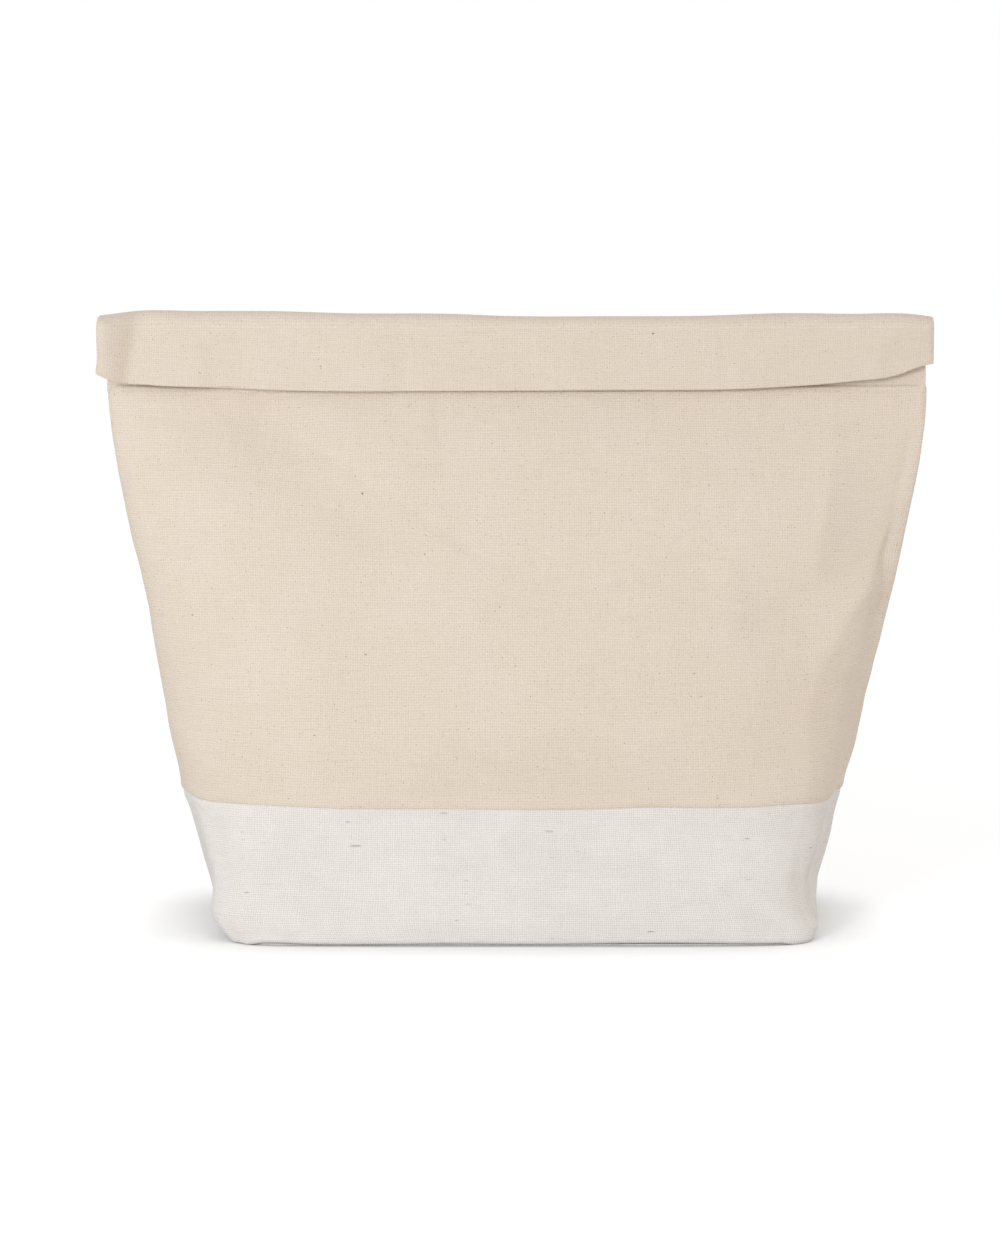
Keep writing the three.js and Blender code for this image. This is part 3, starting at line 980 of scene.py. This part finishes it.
def foam_depth(v):
    return between(FOAM_AT_BAND, FOAM, np.clip((PINCH_HEIGHT - height_of(v)) / FOAM_TAPER, 0, 1))


def inner_wall(name, kind, start, end):
    """A panel of foam or of lining between two marks round the cloth."""
    foam = kind == "foam"
    low = up_of(board_low[2] + ABOVE_BOARD) if foam else up_of(lining_base_high[2] + LAYER_GAP)

    def place(u, v, share):
        depth = share * foam_depth(v) if foam else foam_depth(v) + LAYER_GAP + share * LINING
        return wall_place(u, np.maximum(v, 0), FOAM_INSET + depth, fine=False)

    us = marks(start + LAYER_GAP / 2, end - LAYER_GAP / 2, INNER_STEP)
    vs = marks(max(0.0, float(low)), CLOTH_HEIGHT - BELOW_BAND, INNER_STEP)
    material = FOAM_SHEET if foam else FOIL
    piece = shell(name, place, us, vs, FOAM if foam else LINING, material, "bag")
    return piece


def add_wall():
    for side in ("front", "back"):
        below, above = juco_seam_up - SEAM_GAP, juco_seam_up + SEAM_GAP
        juco = outer_cloth(side, "juco", -FOOT_TURN, below, JUCO_CLOTH, juco_edges)
        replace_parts(juco, f"juco_wall_{side}")
        canvas = outer_cloth(side, "canvas", above, CLOTH_HEIGHT, CANVAS_CLOTH, canvas_edges)
        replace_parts(canvas, f"canvas_{side}")
    panels = {
        "front": (-CORNER, CORNER),
        "right": (CORNER, GIRTH / 2 - CORNER),
        "back": (GIRTH / 2 - CORNER, GIRTH / 2 + CORNER),
        "left": (CORNER - GIRTH / 2, -CORNER),
    }
    for side, (start, end) in panels.items():
        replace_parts(inner_wall(f"foam_pad_{side}", "foam", start, end), f"foam_{side}")
        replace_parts(inner_wall(f"lining_cloth_{side}", "lining", start, end), f"lining_{side}")


# The base: cloth, foam and lining as closed plates inside the wall's foot

PLATE_RINGS = (1.0, 0.985, 0.95, 0.88, 0.75, 0.55, 0.3)
PLATE_DOME = 0.9
BASE_CLOTH = 1.0
BASE_CLOTH_INSET = 3.4


def plate(name, low, high, inset, dome, material):
    """A closed plate that follows the wall's inside at its height, and swells in the middle."""
    rims = []
    for z in (low, high):
        v = np.full(COLUMNS, max(0.0, float(up_of(z))))
        rims.append(wall_place(column_along, v, np.full(COLUMNS, float(inset)))[:, :2])
    rim = np.where(np.abs(rims[0]) < np.abs(rims[1]), rims[0], rims[1])
    points = []
    for level in (high, low):
        for r in PLATE_RINGS:
            points.append(np.column_stack([rim * r, np.full(COLUMNS, level + dome * (1 - r**4))]))
        points.append(np.array([[0, 0, level + dome]]))
    top = np.arange(len(PLATE_RINGS) * COLUMNS).reshape(-1, COLUMNS)
    below = top + top.size + 1
    faces = round_quads(np.array([below[0], top[0]])).tolist()
    for side, way in ((top, 1), (below, -1)):
        middle = np.full(COLUMNS, side[-1, -1] + 1)
        hub = np.stack([side[-1], np.roll(side[-1], -1), middle], 1)
        faces += round_quads(side)[:, ::way].tolist() + hub[:, ::way].tolist()
    points = np.concatenate(points)
    piece = new_piece(name, points, faces, points[:, :2], material, "bag")
    return piece


def add_base():
    inner = FOAM_INSET + FOAM + LAYER_GAP
    cloth = plate("juco_cloth_base", 0.0, BASE_CLOTH, BASE_CLOTH_INSET, 0.0, JUCO_CLOTH)
    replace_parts(cloth, "juco_base")
    low, high = foam_base_low[2], foam_base_high[2]
    foam = plate("foam_pad_base", low, high, inner, PLATE_DOME, FOAM_SHEET)
    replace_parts(foam, "foam_base")
    low, high = lining_base_low[2], lining_base_high[2]
    lining = plate("lining_cloth_base", low, high, inner, PLATE_DOME, FOIL)
    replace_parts(lining, "lining_base")
    board = frame["nodes"]["base_board"]
    board.data.materials.clear()
    board.data.materials.append(BOARD)


# The band: the neck above the body, folded over to the front as the cuff.
# On a ply, v runs up the neck, over the fold and down the lip

NECK_TUCK = 3.0
NECK_LENGTH = FOLD_HEIGHT - BODY_HEIGHT + NECK_TUCK
NECK_HALF_WIDTH = 211.5
LIP_LENGTH = FOLD_HEIGHT - lip_low[2]
INNER_LIP_STEP = 0.8
FRONT_FOLD_RISE = (-NECK_Y - INNER_LIP_Y) / 2
BACK_FOLD_RISE = fold_high[2] - FOLD_HEIGHT - BAND / 2
ARCH_POINTS = 181

# How much the fold stands above its usual height, and the height of the cuff's lower edge, as
# they are in the photograph from left to right
FOLD_TOP = smooth_curve([
    (-217, 0.4), (-207, 1.7), (-198, 2.8), (-165, 2.9), (-125, 2.8), (-86, 1.7), (-34, 1.4),
    (-8, 0.4), (50, 0.2), (95, 0.4), (141, 1.8), (172, 1.4), (206, 1.2), (217, -0.3),
])
MOUTH_EDGE = smooth_curve([
    (-217, 287), (-209, 283.3), (-189, 280.8), (-163, 279.7), (-112, 277.9), (-34, 277.7),
    (43, 278.2), (121, 279), (172, 282.6), (198, 286.2), (208, 290), (217, 292),
])


def arch_angles(neck_y, lip_y, rise):
    """Length over an arch, and a function from the length along it to the angle round it."""
    angle = np.linspace(0, math.pi, ARCH_POINTS)
    points = np.stack([(neck_y - lip_y) / 2 * np.cos(angle), rise * np.sin(angle)], 1)
    lengths = np.concatenate([[0], np.cumsum(np.linalg.norm(np.diff(points, axis=0), axis=1))])
    return float(lengths[-1]), lambda length: np.interp(length, lengths, angle)


class Ply:
    """One cloth of the band bent over the fold. facing is the side of its outer face at the neck:
    -1 is the front and 1 the back."""

    def __init__(self, neck_y, lip_y, rise, facing):
        self.half_span, self.centre = (neck_y - lip_y) / 2, (neck_y + lip_y) / 2
        self.facing = facing
        self.arch, self.angle = arch_angles(neck_y, lip_y, rise)
        self.rise = rise
        self.lip_start = NECK_LENGTH + self.arch

    def place(self, u, v, share, fold_top=0.0, step=0.0, stand_off=0.0):
        """stand_off moves the lip away from the neck, and fold_top lifts the fold."""
        x = u * -self.facing
        angle = self.angle(np.clip(v - NECK_LENGTH, 0, self.arch))
        rise = self.rise + fold_top
        down = np.clip(v - self.lip_start, 0, None) / LIP_LENGTH
        y = self.centre + self.half_span * np.cos(angle) - stand_off
        z = FOLD_HEIGHT + np.minimum(v - NECK_LENGTH, 0) + rise * np.sin(angle)
        z = z - down * (FOLD_HEIGHT - MOUTH_EDGE(x) - step)
        across, upward = -self.half_span * np.sin(angle), rise * np.cos(angle)
        length = np.hypot(across, upward)
        off = (0.5 - share) * BAND * self.facing / length
        return np.stack([x, y + off * upward, z - off * across], -1)


FRONT_PLY = Ply(-NECK_Y, INNER_LIP_Y, FRONT_FOLD_RISE, -1)
BACK_PLY = Ply(NECK_Y, CUFF_Y, BACK_FOLD_RISE, 1)
BAND_STEP = 2.6
END_TURN = 2.5
END_TURN_DEPTH = 1.3
WIDENED_BY = 0.45
LEFT_END = 214.8
RIGHT_END = 215.0
LOWER_CORNER = 1.0
LOWER_CORNER_FROM = 0.6

# The cuff's loose left end: its slanting crease from the top to the lower edge, the ridge beyond
# it, and how steeply it stands forward
FLARE_CREASE = (-196.5, -201.5)
FLARE_RIDGE = -213.0
FLARE_SHARE = 0.86
FLARE_CURVE = 0.35
FLARE_LIMIT = 1.3
CUFF_STAND_OFF = 0.1
CUFF_WAVE = 0.35
CUFF_RIPPLE = 0.05
CUFF_FADE = 8
CUFF_FOLD_FADE = 0.4
cuff_waves = unevenness(21, 50, 120)
cuff_ripples = unevenness(5, 12, 30)
CUFF_LIFTS = (
    # place, half width and height of the parts whose lower edge stands off
    (-180, 24, 1.4),
    (190, 25, 0.5),
)
CUFF_FOLDS = (
    # sharp edge, width, length of the way back and depth of a shallow fold
    (-164, 14, 24, 3.2),
    (-67, 8, 10, 1.3),
    (188, 10, 10, 1.4),
    (104, 3, 4, 0.9),
    (137, 5, 8, 0.8),
)


def widened(x, v, ply):
    """The neck is a little narrower than the lip, so a ply widens as it rises over the fold."""
    share = ease((v - NECK_LENGTH) / (WIDENED_BY * ply.arch))
    ends = np.where(x < 0, LEFT_END, RIGHT_END)
    return x / CUFF_HALF_WIDTH * between(NECK_HALF_WIDTH, ends, share)


def flare(x, share):
    """How far the cuff's left end stands forward beyond its crease. share runs down the cuff."""
    crease = between(*FLARE_CREASE, share)
    width = crease - FLARE_RIDGE
    turn = np.clip((crease - x) / width, 0, FLARE_LIMIT)
    return FLARE_SHARE * width * turn * (1 + FLARE_CURVE - FLARE_CURVE * turn**2)


def cuff_relief(x, down):
    """How far the cuff stands off from the neck."""
    share = down / LIP_LENGTH
    lift = sum(height * bell(x, place, width) for place, width, height in CUFF_LIFTS)
    waves = CUFF_WAVE * cuff_waves(x, down) + CUFF_RIPPLE * cuff_ripples(x, down)
    shape = CUFF_STAND_OFF + waves + share**2 * lift
    for edge, width, back, depth in CUFF_FOLDS:
        shape = shape - depth * ledge(x - edge, width, back) * ease(share / CUFF_FOLD_FADE)
    inside = np.minimum(x + LEFT_END, RIGHT_END - x)
    end = END_TURN_DEPTH * np.clip(1 - inside / END_TURN, 0, 1) ** 2
    return ease(down / CUFF_FADE) * shape - end + flare(x, share)


def back_band_place(u, v, share):
    x = widened(-u, v, BACK_PLY)
    over = ease((v - NECK_LENGTH) / BACK_PLY.arch)
    return BACK_PLY.place(-x, v, share, fold_top=FOLD_TOP(x), stand_off=over * cuff_relief(x, 0 * x))


def front_band_place(u, v, share):
    x = widened(u, v, FRONT_PLY)
    over = ease((v - NECK_LENGTH) / FRONT_PLY.arch)
    down = np.clip(v - FRONT_PLY.lip_start, 0, LIP_LENGTH) / LIP_LENGTH
    return FRONT_PLY.place(x, v, share, step=INNER_LIP_STEP, stand_off=over * flare(x, down))


def cuff_place(u, v, share):
    down = np.maximum(v - BACK_PLY.lip_start, 0)
    low = ease((down / LIP_LENGTH - LOWER_CORNER_FROM) / (1 - LOWER_CORNER_FROM))
    left = LEFT_END + LOWER_CORNER * low
    x = -u / CUFF_HALF_WIDTH * np.where(u > 0, left, RIGHT_END)
    return BACK_PLY.place(-x, v, share, stand_off=cuff_relief(x, down))


def band_piece(name, place, us, vs, flat_length, cut, *nodes):
    piece = shell(name, place, us, vs, BAND, BAND_CLOTH_PAINTED_DARKER, cut=cut)
    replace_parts(piece, *nodes)
    return piece


CUFF_OPEN_FROM = 217.0
CUFF_OPEN_TO = 95.0
FRONT_ARCH_ROWS = 13
BACK_ARCH_ROWS = 25
BLEND_MARGIN = 0.1


def over_fold(piece, flap_y):
    """Bakes the piece's place into its mesh. flap_y is not used."""
    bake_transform(piece)


def add_band():
    across = marks(-CUFF_HALF_WIDTH, CUFF_HALF_WIDTH, BAND_STEP)
    neck_vs = np.arange(0, NECK_LENGTH, BAND_STEP)
    lip_vs = marks(0, LIP_LENGTH, BAND_STEP)
    front_arch = np.linspace(NECK_LENGTH, FRONT_PLY.lip_start, FRONT_ARCH_ROWS)
    front_vs = np.concatenate([neck_vs, front_arch, FRONT_PLY.lip_start + lip_vs[1:]])
    front_length = FRONT_PLY.lip_start + LIP_LENGTH
    front = band_piece("band_cloth_front", front_band_place, across, front_vs, front_length, (),
                       "neck_band_front", "front_fold", "front_lip")
    over_fold(front, inner_lip_high[1])
    back_arch = np.linspace(NECK_LENGTH, BACK_PLY.lip_start, BACK_ARCH_ROWS)
    back_vs = np.concatenate([neck_vs, back_arch])
    back = band_piece("band_cloth_back", back_band_place, across, back_vs, BACK_PLY.lip_start, ("high",),
                      "neck_band_back", "back_fold")
    over_fold(back, lip_high[1] + BLEND_MARGIN)
    cuff_vs = BACK_PLY.lip_start + lip_vs
    half = across[across > 0]
    halves = (
        ("left", -1, np.append(0, half)),
        ("right", 1, np.append(-half[::-1], 0)),
    )
    for side, sign, us in halves:
        cut = (side, "low")
        cuff = band_piece(f"cuff_cloth_{side}", cuff_place, us, cuff_vs, LIP_LENGTH, cut, "back_lip")
        start, end = (sign * CUFF_OPEN_FROM * MM, 0, 0), (sign * CUFF_OPEN_TO * MM, 0, 0)
        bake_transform(cuff)
        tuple(start)
        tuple(end)


# The side seams that close the two ends of the neck and of the fold

END_STEPS = 13
END_BULGE = 0.5
END_INSET = 1.0
END_THICKNESS = 0.85
END_SEAM = 0.5
END_SEAM_WIDTH = 0.3
CLOSED_OVER = 0.95
END_JOIN = 0.4


def end_place(sign, around, up, over, share):
    """A place on an end's cloth. around runs from the front ply to the back ply, and over is the
    share of the way over the fold."""
    u = np.full(around.shape, sign * CUFF_HALF_WIDTH)
    middle = np.full(around.shape, 0.5)
    front = front_band_place(u, up + over * FRONT_PLY.arch, middle)
    back = back_band_place(-u, up + over * BACK_PLY.arch, middle)
    centre, reach = (front + back) / 2, (back - front) / 2
    half = np.linalg.norm(reach, axis=-1)
    radius = half + END_THICKNESS * (0.5 - share)
    out = END_BULGE * radius * np.cos(around) - END_INSET
    out = out - END_SEAM * (1 - over) * np.clip(1 - np.abs(around) / END_SEAM_WIDTH, 0, 1)
    point = centre + reach * (radius / half * np.sin(around))[..., None]
    return point + (sign * out)[..., None] * np.array([1.0, 0.0, 0.0])


def add_band_ends():
    half_turn = NECK_Y * math.pi / 2
    for side, sign in (("left", -1), ("right", 1)):
        def neck_place(u, v, share, sign=sign):
            return end_place(sign, sign * u / NECK_Y, v, 0 * v, share)

        def fold_place(u, v, share, sign=sign):
            up = NECK_LENGTH + np.minimum(v, 0)
            return end_place(sign, sign * u / NECK_Y, up, np.maximum(v, 0) / BACK_PLY.arch, share)

        us = np.linspace(-half_turn, half_turn, END_STEPS)
        neck_vs = np.append(np.arange(0, NECK_LENGTH - 1, BAND_STEP), NECK_LENGTH - END_JOIN)
        fold_vs = np.append(-END_JOIN, np.linspace(0, CLOSED_OVER * BACK_PLY.arch, END_STEPS))
        neck = shell(f"neck_end_{side}", neck_place, us, neck_vs, BAND, BAND_CLOTH_PAINTED_DARKER, "bag", cut=("high",))
        fold = shell(f"fold_end_{side}", fold_place, us, fold_vs, BAND, BAND_CLOTH_PAINTED_DARKER, cut=("low",))
        over_fold(fold, lip_high[1] + BLEND_MARGIN)


# Small closed tubes: the pegs of the hook tape, and the stitches, which are short threads that
# stand on the cloth and dive into it at both ends

STITCH_PITCH = 2.5
STITCH_LENGTH = 1.9
STITCH_RADIUS = 0.24
STITCH_SIDES = 6
STITCH_RINGS = (
    # place along the thread, height over the cloth in radii, size
    (0.0, -0.9, 0.6),
    (0.2, 0.1, 1.0),
    (0.5, 0.6, 1.05),
    (0.8, 0.1, 1.0),
    (1.0, -0.9, 0.6),
)
TOPSTITCH_DROP = 3.7


def tubes(name, rings, sides, turned, material, body):
    """Many tubes as one mesh. Each ring is the centres of all tubes there and the ring's two arms."""
    points = []
    for centres, arm, other in rings:
        for k in range(sides):
            turn = 2 * math.pi * (k + turned) / sides
            points.append(centres + math.cos(turn) * arm + math.sin(turn) * other)
    points = np.stack(points, 1)
    index = np.arange(len(rings) * sides).reshape(-1, sides)
    one = [index[0], index[-1, ::-1], *round_quads(index)[:, ::-1]]
    faces = [face + i * index.size for i in range(len(points)) for face in one]
    flat = points.reshape(-1, 3)
    return new_piece(name, flat, faces, flat[:, [0, 2]], material, body)


def stitches(name, centres, along, normals, body):
    side = np.cross(along, normals)
    rings = []
    for share, lift, size in STITCH_RINGS:
        middle = centres + along * (share - 0.5) * STITCH_LENGTH + normals * lift * STITCH_RADIUS
        rings.append((middle, STITCH_RADIUS * size * side, STITCH_RADIUS * size * normals))
    piece = tubes(name, rings, STITCH_SIDES, 0, THREAD, body)


def add_topstitch():
    count = round(GIRTH / STITCH_PITCH)
    u = GIRTH * ((np.arange(count) + 0.5) / count - 0.5)
    u = u[np.abs(np.abs(u) - SIDE_SEAM) > STITCH_PITCH]
    v = np.full(len(u), CLOTH_HEIGHT - TOPSTITCH_DROP)
    inset = np.zeros(len(u))
    along = wall_place(u + 1, v, inset) - wall_place(u - 1, v, inset)
    along /= np.linalg.norm(along, axis=1)[:, None]
    stitches("band_topstitch", wall_place(u, v, inset), along, skin_normal(u, v), "bag")


# Hook and loop tapes: a woven tape with rows of hooks, and one with a pile of loops

TAPE_BASE = 0.5
TAPE_SIDE_GAP = 0.4
TAPE_STITCH_INSET = 1.5
TAPE_EDGE = 1.2
PILE_STEP = 0.8
PILE = 0.55
PILE_BUMP = 0.35
pile_bumps = unevenness(33, 1.7, 3.5, 24)
HOOK_PITCH = 1.8
HOOK_SIDES = 4
HOOK_MARGINS = (3, 2.5)
HOOK_SLACK = 0.5
HOOK_RINGS = (
    # share of the way out, lean, radius
    (0.0, 0.0, 0.26),
    (0.6, 0.05, 0.2),
    (0.92, 0.3, 0.18),
    (1.0, 0.62, 0.16),
    (0.8, 0.8, 0.12),
)


def tape_base(name, low, high, facing, pile):
    """A tape in X and Z whose face is on the side of facing. pile(u, v) is what stands on it."""
    back = low[1] if facing > 0 else high[1]
    middle = (low[2] + high[2]) / 2

    def place(u, v, share):
        depth = (1 - share) * (TAPE_BASE + pile(u, v))
        return np.stack([u * -facing, back + facing * depth, middle + v], -1)

    half_length, half_height = high[0] - TAPE_SIDE_GAP, (high[2] - low[2]) / 2 - TAPE_SIDE_GAP
    step = PILE_STEP if facing > 0 else BAND_STEP
    us, vs = marks(-half_length, half_length, step), marks(-half_height, half_height, step)
    return shell(name, place, us, vs, TAPE_BASE, TAPE)


def loop_pile(u, v):
    half_length, half_height = loop_high[0] - TAPE_EDGE, (loop_high[2] - loop_low[2]) / 2 - TAPE_EDGE
    inside = ease(half_length - np.abs(u)) * ease(half_height - np.abs(v))
    return inside * (PILE + PILE_BUMP * pile_bumps(u, v))


def hooks():
    """Small bent pegs in rows, which lean to the left and to the right in turn."""
    beside, above = HOOK_MARGINS
    xs = np.arange(beside - hook_high[0], hook_high[0] - beside + HOOK_SLACK, HOOK_PITCH)
    zs = np.arange(hook_low[2] + above, hook_high[2] - above + HOOK_SLACK, HOOK_PITCH)
    x, z = [a.ravel() for a in np.meshgrid(xs, zs)]
    lean = np.where(np.arange(len(x)) % 2 == 0, 1.0, -1.0)
    base = hook_high[1] - TAPE_BASE
    tip = hook_high[1] - hook_low[1] - TAPE_BASE
    rings = []
    for out, across, radius in HOOK_RINGS:
        centres = np.stack([x + lean * across, np.full(len(x), base - out * tip), z], -1)
        rings.append((centres, radius * np.array([1.0, 0, 0]), radius * UP))
    return tubes("tape_hooks", rings, HOOK_SIDES, 0.5, TAPE, None)


def tape_stitches(name, low, high, facing, body):
    """The rectangle of stitches that holds a tape."""
    half_length = high[0] - TAPE_STITCH_INSET
    bottom, top = low[2] + TAPE_STITCH_INSET, high[2] - TAPE_STITCH_INSET
    y = low[1] + TAPE_BASE if facing > 0 else high[1] - TAPE_BASE
    xs = np.arange(-half_length + STITCH_PITCH / 2, half_length, STITCH_PITCH)
    zs = np.arange(bottom + STITCH_PITCH / 2, top, STITCH_PITCH)
    lines = [(xs, 0 * xs + z, (1, 0, 0)) for z in (bottom, top)]
    lines += [(0 * zs + x, zs, (0, 0, 1)) for x in (-half_length, half_length)]
    centres = np.concatenate([np.stack([x, 0 * x + y, z], 1) for x, z, _ in lines])
    along = np.concatenate([np.tile(np.array(way, float), (len(x), 1)) for x, _, way in lines])
    normals = np.tile(np.array([0.0, facing, 0.0]), (len(centres), 1))
    stitches(name, centres, along, normals, body)


def add_tapes():
    hook = tape_base("hook_tape", hook_low, hook_high, -1, lambda u, v: 0 * u)
    pegs = hooks()
    loop = tape_base("loop_tape", loop_low, loop_high, 1, loop_pile)
    for piece, body in ((hook, "bag"), (pegs, "bag"), (loop, "flap")):
        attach(piece, body)
    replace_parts(hook, "hook_strip")
    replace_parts(pegs, "hook_strip")
    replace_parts(loop, "loop_strip")
    tape_stitches("hook_tape_stitches", hook_low, hook_high, -1, "bag")
    tape_stitches("loop_tape_stitches", loop_low, loop_high, 1, "flap")


# Stage: a white floor, a bright sky, a soft key lamp from the front left and a fill from the right

FLOOR_SIZE = 40.0
FLOOR_LIFT = 0.46
FLOOR_COLOUR = 0.8
EVENED = 0.65
POOL_FALL = -3.0
CONTACT_REACH = 42.0
CONTACT_DEPTH = 1.5
AMBIENT = 0.614
FROM_BEHIND = 0.35
LAMPS = {
    # name: place, size, power and colour
    "key": ((-850, -1750, 600), 500.0, 15.8, (0.95, 1.0, 1.04)),
    "fill": ((1700, -350, 300), 900.0, 5.1, (1.0, 0.96, 0.925)),
}
LAMP_AIM = (0, 0, 150)


def floor_material():
    """The floor is brighter to the camera than to the object, so that only shadows show on it.
    It is lifted less near the key lamp, where that lamp lights it already, and close to the object,
    which hides a part of the sky there: this is painted contact shadow, added to the real one."""
    nodes = new_material("floor")
    lit = nodes.add("BsdfDiffuse", {"Color": (FLOOR_COLOUR, FLOOR_COLOUR, FLOOR_COLOUR, 1)})
    seen = nodes.add("LightPath").outputs["Is Camera Ray"]
    key_place, _, power, _ = LAMPS["key"]
    ends = {0: nodes.add("NewGeometry").outputs["Position"], 1: Vector(key_place) * MM}
    away = nodes.add("VectorMath", ends, operation="DISTANCE").outputs["Value"]
    pool = EVENED * FLOOR_COLOUR * power * key_place[2] * MM / math.pi**2
    lift = nodes.math("MULTIPLY_ADD", nodes.math("POWER", away, POOL_FALL), -pool, FLOOR_LIFT)
    # painted contact shadow: the floor's glow is darkened where the object hides the sky
    open_sky = nodes.add("AmbientOcclusion", {"Distance": CONTACT_REACH * MM}).outputs["AO"]
    lift = nodes.math("MULTIPLY", lift, nodes.math("POWER", open_sky, CONTACT_DEPTH))
    lift = nodes.math("MULTIPLY", seen, lift)
    glow = nodes.add("Emission", {"Color": (1, 1, 1, 1), "Strength": lift})
    both = nodes.add("AddShader", {0: lit.outputs[0], 1: glow.outputs[0]})
    nodes.add("OutputMaterial", {0: both.outputs[0]})
    return nodes.owner


def add_floor():
    mesh = bpy.data.meshes.new("floor")
    half = FLOOR_SIZE / 2
    corner_points = [(-half, -half, 0), (half, -half, 0), (half, half, 0), (-half, half, 0)]
    mesh.from_pydata(corner_points, [], [(0, 1, 2, 3)])
    mesh.materials.append(floor_material())
    floor = bpy.data.objects.new("floor", mesh)
    bpy.context.scene.collection.objects.link(floor)


def add_lamps():
    for name, (place, size, power, colour) in LAMPS.items():
        lamp = bpy.data.lights.new(name, "AREA")
        lamp.size = size * MM
        lamp.energy = power
        lamp.color = colour
        holder = bpy.data.objects.new(name, lamp)
        holder.location = Vector(place) * MM
        aim = Vector(LAMP_AIM) - Vector(place)
        holder.rotation_euler = aim.to_track_quat("-Z", "Y").to_euler()
        bpy.context.scene.collection.objects.link(holder)


def add_sky():
    """The sky lights the bag, a little more from behind so that its back isn't dull. The camera
    sees it white."""
    world = bpy.data.worlds.new("sky")
    bpy.context.scene.world = world
    nodes = Nodes(world)
    direction = nodes.add("TexCoord").outputs["Generated"]
    behind = nodes.math("MAXIMUM", nodes.add("SeparateXYZ", {0: direction}).outputs[1], 0.0)
    light = nodes.math("MULTIPLY_ADD", behind, FROM_BEHIND, AMBIENT)
    path = nodes.add("LightPath").outputs
    seen = nodes.math("MAXIMUM", path["Is Camera Ray"], path["Is Glossy Ray"])
    seen = nodes.math("MAXIMUM", seen, path["Is Transmission Ray"])
    white = (1, 1, 1, 1)
    sky = [nodes.add("Background", {"Color": white, "Strength": level}) for level in (light, 1.0)]
    mix = nodes.add("MixShader", {0: seen, 1: sky[0].outputs[0], 2: sky[1].outputs[0]})
    nodes.add("OutputWorld", {0: mix.outputs[0]})


def add_stage():
    add_floor()
    add_sky()
    add_lamps()
    bpy.context.scene.view_settings.view_transform = "Standard"


add_camera()
add_stage()
add_wall()
add_base()
add_band()
add_band_ends()
add_tapes()
add_topstitch()
